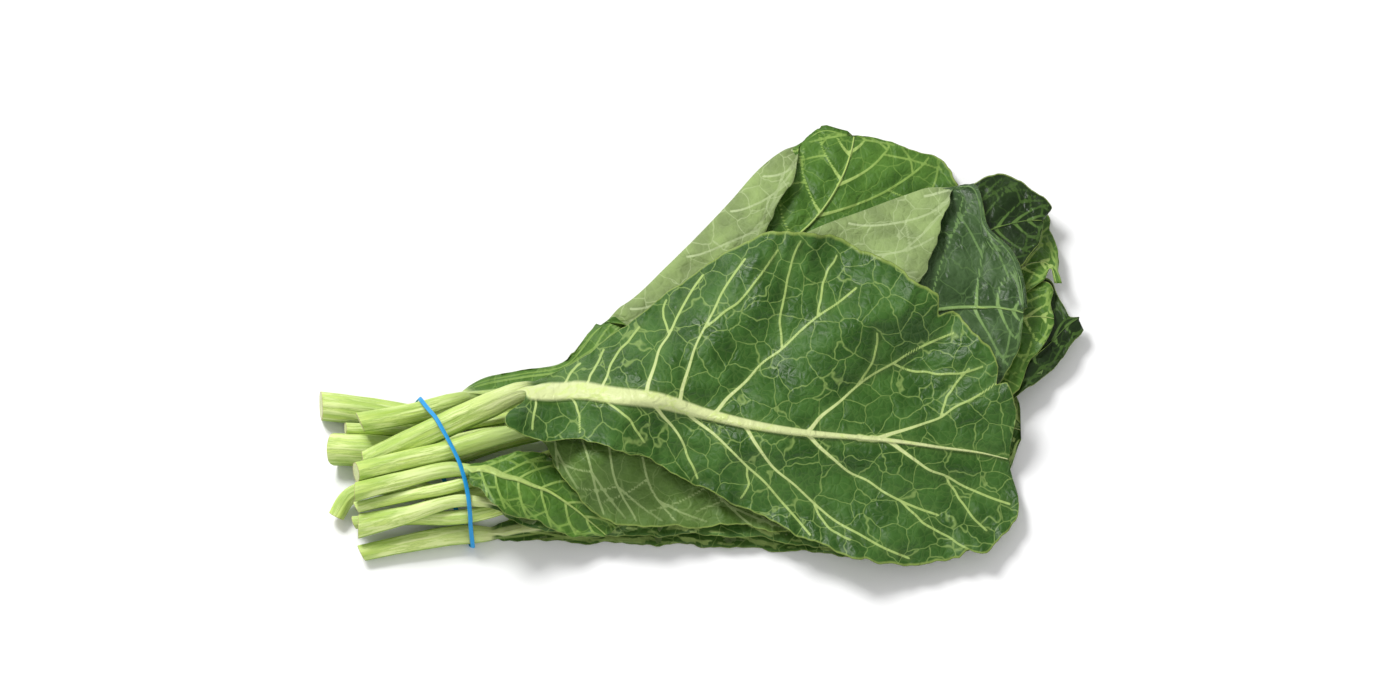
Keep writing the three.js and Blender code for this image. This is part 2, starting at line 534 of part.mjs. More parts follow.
function bandGeometry() {
  const stretch = Math.hypot(1, BAND_LINE.slope);
  const ovals = LEAVES.map((leaf) => {
    const point = [0, 0, 0, 0];
    let best = Infinity;
    for (let t = 0; t <= leaf.bladeFrom - 1; t += SEARCH_STEP) {
      const [u, v, z, r] = leaf.profile(t);
      const y = (v - z * Math.cos(SHEET_TILT)) / Math.sin(SHEET_TILT);
      const miss = Math.abs(u - BAND_LINE.x - BAND_LINE.slope * y);
      if (miss < best) {
        best = miss;
        point.splice(0, 4, y * stretch, z, r, r * skew(leaf, t) + BAND_WIDTH / 3);
      }
    }
    return point;
  });
  const axis = new THREE.Vector3(1, -BAND_LINE.slope, 0).normalize();
  const cross = new THREE.Vector3(BAND_LINE.slope, 1, 0).normalize();
  const base = new THREE.Vector3(BAND_LINE.x + SHIFT_X, SHIFT_Y, 0);
  const points = [];
  for (let k = 0; k < BAND_STEPS; k += 1) {
    const angle = (2 * Math.PI * k) / BAND_STEPS;
    const cos = Math.cos(angle);
    const sin = Math.sin(angle);
    const bulge = (c) => Math.hypot(c[3] * cos, c[2] * sin);
    const reach = (c) => c[0] * cos + c[1] * sin + bulge(c);
    const outer = ovals.reduce((a, b) => (reach(b) > reach(a) ? b : a));
    const [y, z, high, wide] = outer;
    for (const [depth, edge] of [[0, -0.5], [0, 0.5], [1, 0.5], [1, -0.5]]) {
      const off = BAND_GAP + depth * BAND_THICK;
      const lowest = (1 - depth) * BAND_THICK + FLOOR_GAP;
      points.push(base.clone()
        .addScaledVector(cross, y + cos * ((wide * wide) / bulge(outer) + off))
        .addScaledVector(axis, edge * BAND_WIDTH)
        .setZ(Math.max(z + sin * ((high * high) / bulge(outer) + off), lowest)));
    }
  }
  const faces = [];
  for (let k = 0; k < BAND_STEPS; k += 1) {
    for (let j = 0; j < 4; j += 1) {
      const a = k * 4 + j;
      const b = k * 4 + ((j + 1) % 4);
      const c = ((k + 1) % BAND_STEPS) * 4 + j;
      const d = ((k + 1) % BAND_STEPS) * 4 + ((j + 1) % 4);
      faces.push(a, b, c, b, d, c);
    }
  }
  return solid(points, faces);
}

// ---- the bunch --------------------------------------------------------------------------------
const bunch = new THREE.Group();
LEAVES.forEach((leaf, index) => {
  prepare(leaf, index);
  const material = new THREE.MeshStandardMaterial({ color: leaf.colour, roughness: 0.55, metalness: 0 });
  const mesh = new THREE.Mesh(loft(leaf, index), material);
  mesh.name = leaf.name;
  bunch.add(mesh);
});
const bandMaterial = new THREE.MeshStandardMaterial({ color: 0x1e9be0, roughness: 0.6, metalness: 0 });
const band = new THREE.Mesh(bandGeometry(), bandMaterial);
band.name = 'rubber_band';
bunch.add(band);

export default bunch;
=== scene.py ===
# %% [markdown]
# # A bunch of collard greens
# A bunch is twelve whole leaves, each grown as one piece from its cut stem to its tip, laid on one
# another and tied with a rubber band. The frame holds a plain solid for each leaf and for the band.
# This lesson lays a detailed leaf over each plain one: margins, veins, puckered blade and cut end.

# %% Open the frame
import math

import bpy
import numpy as np
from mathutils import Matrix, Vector


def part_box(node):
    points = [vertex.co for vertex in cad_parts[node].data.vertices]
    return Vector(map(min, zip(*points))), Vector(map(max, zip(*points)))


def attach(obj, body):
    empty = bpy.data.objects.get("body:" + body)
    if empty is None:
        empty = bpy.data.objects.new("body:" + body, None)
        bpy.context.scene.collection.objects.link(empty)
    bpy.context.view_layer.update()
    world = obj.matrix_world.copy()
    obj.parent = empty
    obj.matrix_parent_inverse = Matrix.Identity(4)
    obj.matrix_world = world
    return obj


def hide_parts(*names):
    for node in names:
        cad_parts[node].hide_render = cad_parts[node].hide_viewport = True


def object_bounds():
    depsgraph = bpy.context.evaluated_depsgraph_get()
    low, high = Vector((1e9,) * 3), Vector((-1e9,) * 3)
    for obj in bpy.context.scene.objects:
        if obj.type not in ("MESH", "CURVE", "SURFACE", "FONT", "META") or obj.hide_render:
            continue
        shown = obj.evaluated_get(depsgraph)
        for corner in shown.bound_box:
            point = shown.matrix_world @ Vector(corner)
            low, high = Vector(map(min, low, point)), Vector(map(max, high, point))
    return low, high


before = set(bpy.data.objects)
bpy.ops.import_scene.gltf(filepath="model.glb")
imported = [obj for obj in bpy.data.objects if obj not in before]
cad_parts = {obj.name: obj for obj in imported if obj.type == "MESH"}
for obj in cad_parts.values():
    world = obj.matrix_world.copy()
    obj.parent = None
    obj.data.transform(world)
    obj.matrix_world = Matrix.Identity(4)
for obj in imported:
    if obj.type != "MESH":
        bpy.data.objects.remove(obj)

cad_box = [list(corner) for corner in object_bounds()]
MM = 0.001
print("nodes in the frame:", len(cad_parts), "box", cad_box)

# %% [markdown]
# The camera comes first, so that every later step can be looked at. It looks down on the table from
# in front with a long lens, which keeps the near and far leaves at the same scale.

# %% Camera
LOOK_DOWN = math.radians(58)
LENS = 150
SENSOR = 36
SHOWN_WIDTH = 0.742                 # metres across the frame at the bunch
AIM_OFF = Vector((-0.0003, -0.0057, -0.0015))

low, high = (Vector(corner) for corner in cad_box)
aim = (low + high) / 2 + AIM_OFF
back = Vector((0, -math.cos(LOOK_DOWN), math.sin(LOOK_DOWN)))
bpy.ops.object.camera_add(location=aim + back * (SHOWN_WIDTH * LENS / SENSOR))
camera = bpy.context.object
camera.name = "camera"
camera.data.lens = LENS
camera.data.sensor_width = SENSOR
camera.rotation_mode = "QUATERNION"
camera.rotation_quaternion = (-back).to_track_quat("-Z", "Y")
bpy.context.scene.camera = camera
print("camera stands", round(SHOWN_WIDTH * LENS / SENSOR, 2), "m away")

# %% [markdown]
# Leaves show their veins best in wide, soft light with one side a little stronger, because then each
# pucker has a light and a dark flank. The table is a plain pale sheet.

# %% Table and lights
def soft_light(name, place, power, size):
    bpy.ops.object.light_add(type="AREA", location=place)
    light = bpy.context.object
    light.name = name
    light.data.energy = power
    light.data.size = size
    light.rotation_mode = "QUATERNION"
    light.rotation_quaternion = (aim - Vector(place)).to_track_quat("-Z", "Y")


soft_light("key_light", (-0.7, 0.7, 1.3), 26, 0.6)
soft_light("fill_light", (1.1, -1.2, 1.2), 6, 1.2)
soft_light("front_light", (-0.2, -1.5, 0.9), 4, 1.0)

world = bpy.data.worlds.new("studio")
world.use_nodes = True
world.node_tree.nodes["Background"].inputs["Color"].default_value = (1, 1, 1, 1)
world.node_tree.nodes["Background"].inputs["Strength"].default_value = 0.5
bpy.context.scene.world = world
bpy.context.scene.view_settings.view_transform = "Standard"

bpy.ops.object.select_all(action="DESELECT")
bpy.ops.mesh.primitive_plane_add(size=8, location=(0, 0, 0))
table = bpy.context.object
table.name = "table"
table_finish = bpy.data.materials.new("pale_table")
table_finish.use_nodes = True
table_finish.node_tree.nodes["Principled BSDF"].inputs["Base Color"].default_value = (0.9, 0.9, 0.9, 1)
table_finish.node_tree.nodes["Principled BSDF"].inputs["Roughness"].default_value = 0.9
table.data.materials.append(table_finish)

# %% [markdown]
# The leaves are laid out flat, on the same slanted sheet as the plain solids: a sheet point (u, v)
# in millimetres that lies z above the table has one place in the room. Every curve below runs
# through a few points, and is read at a whole or fractional point number.

# %% The sheet and its curves
SHEET_SHIFT = (-135.5, -118.2)


def to_room(u, v, z):
    y = (v - z * math.cos(LOOK_DOWN)) / math.sin(LOOK_DOWN)
    return np.stack([u + SHEET_SHIFT[0], y + SHEET_SHIFT[1], z], -1)


def smooth(x):
    x = np.clip(x, 0, 1)
    return x * x * (3 - 2 * x)


def mix(a, b, t):
    return a + (b - a) * t


def length_of(vectors):
    return np.hypot(vectors[..., 0], vectors[..., 1])


def curve(points):
    p = np.array(points, float)
    step = np.append(np.maximum(length_of(p[1:] - p[:-1]), 0.5), 1)
    slope = np.empty_like(p)
    slope[0] = (p[1] - p[0]) / step[0]
    slope[-1] = (p[-1] - p[-2]) / step[-2]
    before, after = step[:-2, None], step[1:-1, None]
    rise = (p[1:-1] - p[:-2]) / before * after + (p[2:] - p[1:-1]) / after * before
    slope[1:-1] = rise / (before + after)

    def read(at):
        i = np.clip(np.floor(at).astype(int), 0, len(p) - 2)
        t = (at - i)[..., None]
        h = step[i][..., None]
        start = (2 * t**3 - 3 * t**2 + 1) * p[i] + (t**3 - 2 * t**2 + t) * h * slope[i]
        return start + (3 * t**2 - 2 * t**3) * p[i + 1] + (t**3 - t**2) * h * slope[i + 1]

    return read


def nearest(chain, u, v):
    """Distance from each place to a chain of points, and the point number there."""
    best, at = np.full(np.shape(u), np.inf), np.zeros(np.shape(u))
    for i, (a, b) in enumerate(zip(chain[:-1], chain[1:])):
        du, dv = b[0] - a[0], b[1] - a[1]
        t = np.clip(((u - a[0]) * du + (v - a[1]) * dv) / max(du * du + dv * dv, 1e-9), 0, 1)
        gap = np.hypot(u - a[0] - t * du, v - a[1] - t * dv)
        at = np.where(gap < best, i + t, at)
        best = np.minimum(gap, best)
    return best, at


def inside(loop, u, v):
    hit = np.zeros(np.shape(u), bool)
    for (au, av), (bu, bv) in zip(loop, np.roll(loop, 1, axis=0)):
        if av != bv:
            crossed = (av > v) != (bv > v)
            hit ^= crossed & (u < (bu - au) * (v - av) / (bv - av) + au)
    return hit


print("sheet point (0, 0) on the table lies at", to_room(0.0, 0.0, 0.0))

# %% [markdown]
# Each leaf is described by its stem (u, v, height and radius, from the cut end), by its midrib, and
# by its two margins, point for point. Two leaves are folded back on themselves, so they have the
# margin of the folded part too. The list runs from the bottom of the bunch to the top.

# %% The twelve leaves
LEAVES = [
    dict(
        name="bottom_leaf", press=0.8, ridge=[2.2, 0], wave=[1.2, 70, 0.4],
        stem=[[-43, -3, 4.6, 4.4], [-19, 2, 5.6, 4.8], [15, 7, 6.7, 5.2]],
        rib=[[25, 7], [42, 10], [66, 12], [98, 13], [135, 15], [172, 15], [204, 14], [233, 12],
            [260, 8], [279, 3]],
        left=[[26, 10], [46, 21], [77, 29], [114, 37], [156, 42], [193, 45], [225, 40], [252, 32],
            [273, 21], [281, 5]],
        right=[[25, 4], [39, 4], [64, 3], [98, 2], [135, 1], [170, -1], [201, -3], [231, -6], [256, -5],
            [277, -1]],
    ),
    dict(
        name="hidden_leaf", ridge=[1.4, 1.6], wave=[2, 80, 1.3],
        stem=[[-47, 13, 6, 3.4], [-22, 15, 9.5, 3.5], [15, 17, 19, 3.8], [45, 25, 12, 3.4],
            [66, 32, 8, 2.6]],
        rib=[[93, 40], [130, 48], [167, 53], [204, 58], [236, 62], [262, 64], [284, 64], [297, 63],
            [305, 61]],
        left=[[94, 42], [138, 64], [180, 77], [223, 90], [257, 101], [282, 99], [298, 90], [304, 78],
            [305, 64]],
        right=[[92, 38], [127, 29], [164, 21], [201, 16], [236, 13], [265, 19], [286, 26], [298, 40],
            [305, 56]],
    ),
    dict(
        name="front_leaf", ridge=[1.4, 1.6], wave=[2, 64, 2.2],
        stem=[[-45, 11, 14, 6.4], [-19, 17, 20, 4.6], [12, 25, 26, 3.4]],
        rib=[[24, 24], [45, 22], [72, 22], [103, 24], [135, 24], [167, 24], [199, 22], [225, 17],
            [244, 11], [257, 5]],
        left=[[25, 26], [50, 32], [82, 40], [119, 48], [154, 50], [188, 48], [217, 40], [238, 29],
            [249, 19], [258, 7]],
        right=[[23, 22], [40, 14], [61, 8], [93, 6], [130, 7], [167, 5], [199, 0], [223, -3], [240, -2],
            [256, 3]],
    ),
    dict(
        name="corner_leaf", ridge=[1.4, 1.8], wave=[2, 90, 0.9], dome=[9, 312, 106, 42],
        stem=[[-68, 74, 7.6, 7.6], [-40, 71, 8, 7.4], [-12, 67, 8.7, 7.2], [40, 73, 7, 5.5],
            [87, 80, 5, 3.4]],
        rib=[[135, 87], [172, 86], [209, 85], [246, 85], [278, 89], [299, 94], [314, 101], [324, 109],
            [331, 116], [337, 120]],
        left=[[136, 90], [180, 103], [223, 114], [262, 127], [294, 138], [313, 143], [322, 141],
            [329, 128], [335, 121], [338, 121]],
        right=[[134, 85], [172, 74], [209, 64], [246, 61], [273, 64], [294, 72], [306, 81], [320, 91],
            [332, 104], [340, 114]],
    ),
    dict(
        name="inner_leaf", ridge=[1.4, 1.6], wave=[2, 75, 3.1],
        stem=[[-56, 15, 5, 4.2], [-50, 25, 8, 4.5], [-24, 32, 8, 4.5], [5, 26, 7, 4.5],
            [40, 34, 7, 4.2], [72, 45, 6, 3]],
        rib=[[103, 56], [140, 64], [178, 74], [215, 89], [246, 101], [273, 110], [294, 117], [310, 121],
            [319, 121], [324, 120]],
        left=[[104, 58], [148, 80], [191, 101], [233, 119], [270, 132], [297, 139], [315, 141],
            [324, 136], [323, 128], [324, 122]],
        right=[[102, 54], [135, 48], [175, 53], [215, 58], [249, 64], [278, 69], [302, 80], [310, 97],
            [319, 107], [324, 117]],
    ),
    dict(
        name="back_leaf", ridge=[2.4, 2.4], wave=[2.4, 95, 0.2], dome=[16, 190, 190, 62],
        stem=[[-45, 65, 26, 5.3], [-26, 68, 24, 5.3], [-11, 71, 22, 5.3], [3, 75, 22, 5]],
        rib=[[13, 78], [40, 82], [72, 90], [103, 106], [130, 125], [154, 142], [175, 156], [189, 166],
            [199, 176], [208, 189], [215, 204], [218, 214], [219, 219]],
        left=[[5, 84], [40, 90], [64, 95], [82, 115], [101, 127], [120, 145], [139, 164], [155, 181],
            [170, 198], [183, 209], [191, 215], [202, 222], [215, 220]],
        flap=[[5, 84], [40, 90], [64, 95], [82, 115], [114, 114], [138, 132], [161, 153], [171, 168],
            [179, 185], [188, 201], [192, 214], [202, 222], [215, 220]],
        right=[[18, 76], [44, 79], [76, 86], [118, 94], [178, 98], [220, 119], [252, 146], [272, 170],
            [276, 188], [269, 204], [249, 213], [233, 218], [221, 220]],
    ),
    dict(
        name="torn_leaf", ridge=[1.2, 1], wave=[1.6, 90, 1.9],
        stem=[[-45, 21, 20, 3], [-19, 27, 24, 3.2], [10, 33, 28, 3.4], [28, 39, 22, 3.2],
            [61, 50, 13, 2.4]],
        rib=[[103, 64], [135, 74], [172, 89], [209, 103], [244, 118], [270, 130], [289, 138],
            [304, 145], [314, 150], [321, 150], [324, 147], [326, 139]],
        left=[[104, 66], [146, 87], [188, 114], [231, 138], [268, 159], [297, 175], [315, 183],
            [325, 176], [324, 168], [328, 156], [328, 148], [329, 139]],
        right=[[102, 61], [130, 64], [172, 66], [215, 74], [252, 90], [276, 106], [294, 120],
            [306, 130], [314, 138], [320, 142], [323, 147], [325, 139]],
    ),
    dict(
        name="curling_leaf", spare=1.5, ridge=[1.4, 1.2], wave=[2, 90, 0.6], dome=[13, 306, 186, 46],
        stem=[[-53, 62, 12, 3], [-29, 61, 12, 3], [-8, 60, 12.5, 3], [12, 64, 15, 2.8],
            [29, 67, 17, 2.8], [66, 76, 16, 2.5]],
        rib=[[103, 91], [146, 107], [188, 125], [225, 140], [254, 153], [276, 162], [289, 167],
            [298, 170], [306, 172], [313, 173], [319, 173]],
        left=[[104, 93], [154, 125], [201, 156], [244, 180], [273, 188], [286, 195], [299, 198],
            [311, 193], [320, 186], [324, 180], [321, 174]],
        right=[[102, 89], [146, 90], [196, 98], [241, 109], [270, 119], [289, 130], [299, 142],
            [307, 149], [313, 156], [318, 163], [320, 171]],
    ),
    dict(
        name="folded_leaf", ridge=[1.8, 2.2], wave=[2.4, 90, 2.6],
        stem=[[-61, 51, 9, 8.4], [-32, 50, 9.2, 8.3], [-4, 49, 9.7, 8.1], [29, 57, 10, 7],
            [61, 64, 10, 5.4]],
        rib=[[82, 73], [103, 79], [130, 87], [156, 95], [186, 103], [215, 112], [238, 119], [258, 124],
            [274, 126], [285, 126], [293, 126], [299, 125], [304, 124], [307, 123]],
        left=[[83, 75], [109, 92], [140, 117], [167, 143], [186, 158], [202, 166], [221, 173],
            [245, 182], [271, 190], [280, 191], [288, 168], [301, 154], [306, 138], [307, 126]],
        flap=[[83, 75], [109, 92], [140, 117], [183, 130], [220, 130], [254, 142], [261, 162],
            [268, 179], [272, 188], [280, 191], [288, 168], [301, 154], [306, 138], [307, 126]],
        right=[[81, 70], [103, 69], [130, 66], [162, 64], [193, 62], [225, 61], [249, 62], [268, 66],
            [284, 74], [293, 85], [298, 92], [303, 102], [306, 113], [307, 121]],
    ),
    dict(
        name="small_leaf", ridge=[1.6, 1.2], wave=[1.6, 40, 1.1],
        stem=[[-46, 29, 29, 5], [-22, 35, 28.8, 4.4], [6, 41, 31, 4.2]],
        rib=[[15, 41], [21, 42], [26, 41], [33, 38], [41, 36], [48, 33], [56, 30], [64, 25], [72, 19],
            [79, 13], [86, 7]],
        left=[[16, 44], [23, 46], [32, 48], [41, 50], [50, 50], [60, 47], [70, 42], [80, 34], [89, 24],
            [93, 14], [89, 8]],
        right=[[14, 38], [16, 34], [21, 31], [25, 26], [33, 21], [42, 16], [51, 14], [59, 10], [68, 7],
            [77, 6], [85, 6]],
    ),
    dict(
        name="underside_leaf", spare=1, ridge=[1.2, 1], wave=[1.8, 60, 2.8],
        stem=[[-46, 39, 29, 5.4], [-22, 45, 31, 5.2], [1, 50, 31, 5.2], [24, 57, 33, 5]],
        rib=[[42, 61], [56, 63], [69, 63], [83, 62], [97, 61], [114, 58], [132, 54], [156, 47],
            [183, 38], [209, 28], [231, 17]],
        left=[[44, 64], [61, 69], [82, 76], [103, 79], [130, 79], [156, 75], [183, 66], [204, 56],
            [220, 44], [231, 31], [232, 19]],
        right=[[45, 58], [54, 56], [59, 43], [72, 28], [84, 15], [103, 12], [130, 11], [156, 12],
            [183, 8], [209, 8], [229, 16]],
    ),
    dict(
        name="top_leaf", ridge=[3.6, 3.2], wave=[2.4, 85, 1.7], join=0.95,
        rib_half=[6.6, 6.0, 5.5, 5.2, 5.0, 3.5, 2.8, 2.2, 1.6, 1.3, 0.9, 0.6, 0.35],
        notches=[[265, 128, 10, 6], [295, 91, 7, 5], [247, 143, 2, 7], [276, -3, 5, 6],
            [222, -6, 3, 8]],
        stem=[[-43, 43, 20, 6.4], [-24, 52, 25.5, 6.5], [-5, 61, 31, 6.6], [12, 69, 33, 6.7],
            [26, 75, 35, 6.8]],
        rib=[[43, 82], [61, 82], [74, 82], [88, 80], [113, 77], [138, 70], [164, 64], [190, 60],
            [213, 58], [235, 56], [263, 52], [284, 49], [297, 46]],
        left=[[45, 85], [64, 94], [82, 106], [103, 122], [135, 146], [170, 165], [204, 164], [228, 154],
            [254, 138], [274, 120], [292, 97], [301, 74], [298, 47]],
        right=[[42, 78], [34, 67], [45, 58], [70, 57], [104, 48], [137, 31], [165, 18], [196, 3],
            [228, -8], [256, -7], [284, -1], [301, 16], [298, 45]],
    ),
]

print("leaves", [leaf["name"] for leaf in LEAVES])

# %% [markdown]
# A leaf in a pile rests on the ones below it, drapes over their stems and slopes down past their
# edges. Its height is worked out on a coarse grid, rounded off by averaging neighbours, and read
# back smoothly. All leaves are averaged alike, so each stays above the one below.

# %% How high each leaf lies
BLADE = 0.9
LAYER_NEAR, LAYER_FAR = 3.8, 2.4
LAYER_U = (60, 290)
DRAPE, DRAPE_MARGIN = 30, 8
TENT_GAP, TENT_WIDTH, TENT_SLOPE, TENT_SHARPNESS = 2, 14, 0.9, 0.4
ROLL_RADIUS = 3.6
GRID_START, GRID_STEP, GRID_SIZE = (-20, -24), 4, (68, 95)
ROUND_OFF = 5                       # rounds of averaging
EDGE_STEPS = 40                     # steps along a margin or a stem
STEM_NARROWS = 0.75                 # how far a stem narrows from its last point to the blade
RISE_OVER = 1.6                     # point numbers over which a stem eases into the pile
SOLID_END = 0.6                     # leaves drape over a stem up to this far before its blade
LEAST_FLAP = 4                      # a narrower folded part takes no room in the pile

grid_u = GRID_START[0] + GRID_STEP * np.arange(GRID_SIZE[1])[None, :] + np.zeros(GRID_SIZE)
grid_v = GRID_START[1] + GRID_STEP * np.arange(GRID_SIZE[0])[:, None] + np.zeros(GRID_SIZE)
layer_room = mix(LAYER_NEAR, LAYER_FAR, smooth((grid_u - LAYER_U[0]) / (LAYER_U[1] - LAYER_U[0])))


def footprint(loop):
    away = nearest(np.vstack([loop, loop[:1]]), grid_u, grid_v)[0]
    return np.where(inside(loop, grid_u, grid_v), 1, 1 - smooth((away - DRAPE_MARGIN) / DRAPE))


def own_relief(leaf, u, v):
    height, length, phase = leaf["wave"]
    k = 2 * math.pi / length
    relief = 0.5 * height * (1 + np.sin(k * u + phase) * np.cos(k * 0.8 * v + 2 * phase))
    if "dome" in leaf:
        rise, du, dv, radius = leaf["dome"]
        relief = relief + rise * np.exp(-((u - du) / radius) ** 2 - ((v - dv) / radius) ** 2)
    return relief


def settle(heights):
    for _ in range(ROUND_OFF):
        for axis in (1, 0):
            padded = np.pad(heights, [(1, 1) if k == axis else (0, 0) for k in (0, 1)], mode="edge")
            before, after = np.split(padded, [-2], axis)[0], np.split(padded, [2], axis)[1]
            heights = (before + 2 * heights + after) / 4
    return heights


def height_at(leaf, u, v):
    """Reads the grid with a soft curve over four by four of its points."""
    x = np.clip((u - GRID_START[0]) / GRID_STEP, 0, GRID_SIZE[1] - 1.001)
    y = np.clip((v - GRID_START[1]) / GRID_STEP, 0, GRID_SIZE[0] - 1.001)
    i, j = np.floor(x).astype(int), np.floor(y).astype(int)

    def weights(f):
        return [(1 - f) ** 3, 3 * f**3 - 6 * f**2 + 4, -3 * f**3 + 3 * f**2 + 3 * f + 1, f**3]

    total = 0
    for n, wy in enumerate(weights(y - j)):
        row = np.clip(j + n - 1, 0, GRID_SIZE[0] - 1)
        for m, wx in enumerate(weights(x - i)):
            column = np.clip(i + m - 1, 0, GRID_SIZE[1] - 1)
            total = total + leaf["grid"][row, column] * wx * wy / 36
    return total


def stem_radius(leaf, t):
    last = len(leaf["stem"]) - 1
    past = leaf["stem"][-1][3] * mix(1, STEM_NARROWS, np.clip(t - last, 0, 1))
    return np.where(t <= last, leaf["profile"](np.minimum(t, last))[..., 3], past)


def centre_height(leaf, t):
    last = len(leaf["stem"]) - 1
    own = leaf["profile"](np.minimum(t, last))[..., 2]
    place = leaf["centre"](t)
    return mix(own, height_at(leaf, place[..., 0], place[..., 1]), smooth((t - last) / RISE_OVER))


stack = np.zeros(GRID_SIZE)
tents = np.ones(GRID_SIZE)
for leaf in LEAVES:
    last = len(leaf["rib"]) - 1
    leaf["from"] = len(leaf["stem"])
    leaf["centre"] = curve([point[:2] for point in leaf["stem"]] + leaf["rib"])
    leaf["profile"] = curve(leaf["stem"])
    for side in ("left", "right", "flap"):
        if side in leaf:
            leaf[side + "_edge"] = curve(leaf[side])
    leaf["grid"] = settle(np.log(tents) / TENT_SHARPNESS + BLADE + leaf["ridge"][1] * 0.5
                          + own_relief(leaf, grid_u, grid_v) - leaf.get("press", 0) + stack)
    numbers = np.linspace(0, last, EDGE_STEPS + 1)
    loop = np.vstack([leaf["left_edge"](numbers), leaf["right_edge"](numbers[::-1])])
    room = layer_room + own_relief(leaf, grid_u, grid_v) + leaf.get("spare", 0)
    stack = stack + room * footprint(loop)
    if "flap" in leaf:
        width = length_of(leaf["left_edge"](numbers) - leaf["flap_edge"](numbers))
        open_part = numbers[width > LEAST_FLAP]
        loop = np.vstack([leaf["left_edge"](open_part), leaf["flap_edge"](open_part[::-1])])
        stack = stack + (2 * ROLL_RADIUS + layer_room) * footprint(loop)
    numbers = np.linspace(0, leaf["from"] - SOLID_END, EDGE_STEPS + 1)
    tube = np.column_stack([leaf["centre"](numbers), centre_height(leaf, numbers),
                            stem_radius(leaf, numbers)])
    away, at = nearest(tube, grid_u, grid_v)
    i = np.minimum(at.astype(int), EDGE_STEPS - 1)
    reach = mix(tube[i, 2] + tube[i, 3], tube[i + 1, 2] + tube[i + 1, 3], at - i)
    drop = TENT_SLOPE * (np.hypot(away, TENT_WIDTH) - TENT_WIDTH)
    tents = tents + np.exp(TENT_SHARPNESS * (reach + TENT_GAP - drop))
print("highest point of the pile", round(float(max(leaf["grid"].max() for leaf in LEAVES)), 1), "mm")

# %% [markdown]
# Real blades are never quite smooth. Margins wander and are nicked, and the blade puckers between
# its veins. Both come from a few waves of unlike lengths, with fixed random directions and phases.

# %% Wandering and crumpling
def wander(along, length, seed):
    chance = np.random.default_rng(seed)
    lengths = length / np.array([1, 1.7, 2.9, 4.6])
    parts = [np.sin(2 * math.pi * along / one + chance.uniform(0, 6.3)) / (n + 1)
             for n, one in enumerate(lengths)]
    return sum(parts) / 1.6


def crumple(u, v, length, seed):
    chance = np.random.default_rng(seed)
    total = 0
    for n in range(9):
        turn = chance.uniform(0, math.pi)
        k = 2 * math.pi / (length * chance.uniform(0.55, 1.5))
        total = total + np.sin(k * (u * math.cos(turn) + v * math.sin(turn)) + chance.uniform(0, 6.3))
    return total / 4


print("wander", wander(np.arange(3.0), 20, 1).round(2))

# %% [markdown]
# The veins carry the look of a collard leaf: a broad pale midrib, side veins that leave it at an
# angle and fork near the margin. Every place is counted along the leaf's own midrib and margins, in
# point numbers. A side vein of the top leaf says which side it is on, where it leaves the midrib,
# which point of the margin it makes for, the share of the way there that it gets, and how many
# millimetres it bows. A fork says instead which side vein it leaves, and how far along. The other
# leaves, mostly covered, get theirs from a rule. Each vein thins towards its end.

# %% Veins
UP, DOWN = 1, -1
SIDE_VEINS = [
    (UP, 2.6, 3.1, 0.8, 2), (UP, 3.7, 4.1, 0.93, 3), (UP, 4.4, 4.8, 0.88, 4), (UP, 5.1, 6.9, 0.8, 2),
    (UP, 7, 9, 0.88, 5), (UP, 8.6, 10.3, 0.93, -4),
    (DOWN, 2.5, 4, 0.75, -2), (DOWN, 3.8, 4.9, 0.9, -3), (DOWN, 4.4, 6.9, 0.95, -3),
    (DOWN, 5.7, 8.6, 0.95, 9), (DOWN, 7, 9.4, 0.62, 5), (DOWN, 8.9, 11, 0.8, 3),
    (DOWN, 0.3, 1.9, 0.85, -1), (DOWN, 1.3, 3, 0.85, -2), (UP, 1.1, 1.5, 0.8, 1), (UP, 1.9, 2.2, 0.8, -1),
]
FORKS = [
    (1, 0.5, 3.5, 0.92, 2), (2, 0.5, 5.3, 0.9, -3), (3, 0.45, 5.6, 0.95, 4), (3, 0.75, 6.3, 0.92, 2),
    (4, 0.35, 7.6, 0.62, -3), (4, 0.6, 9.8, 0.85, -5), (5, 0.5, 9.6, 0.75, 2),
    (8, 0.5, 5.7, 0.9, -2), (9, 0.55, 7.6, 0.85, 3), (10, 0.7, 9.7, 0.93, 2), (11, 0.5, 10.2, 0.85, 2),
]
SIDE_WIDTH, FORK_WIDTH, SMALL_WIDTH, VEIN_END = 0.66, 0.36, 0.4, 0.32
VEIN_SPREAD, VEIN_FLARE, FLARE_REACH = 2.6, 1.3, 18
VEIN_POINTS, VEIN_SWAY, SWAY_LENGTH = 9, 1.1, 34
VEIN_LEAST, VEIN_FADE = 0.46, 0.16
VEIN_REACH, VEIN_FREE = 12, 60.0    # a vein is looked for this near, and else counts as this far
MINOR = (0, 6, 12, 13, 14, 15)      # the thin ones among the side veins
ROOT_LEAD = 0.35                    # a side vein starts this far back, inside the midrib
FORK_SEED = 40
BOLD, SMALL_BOLD, FLAP_BOLD = 0.55, 0.4, 0.36
FAN_COUNT, SMALL_COUNT = 8, 6


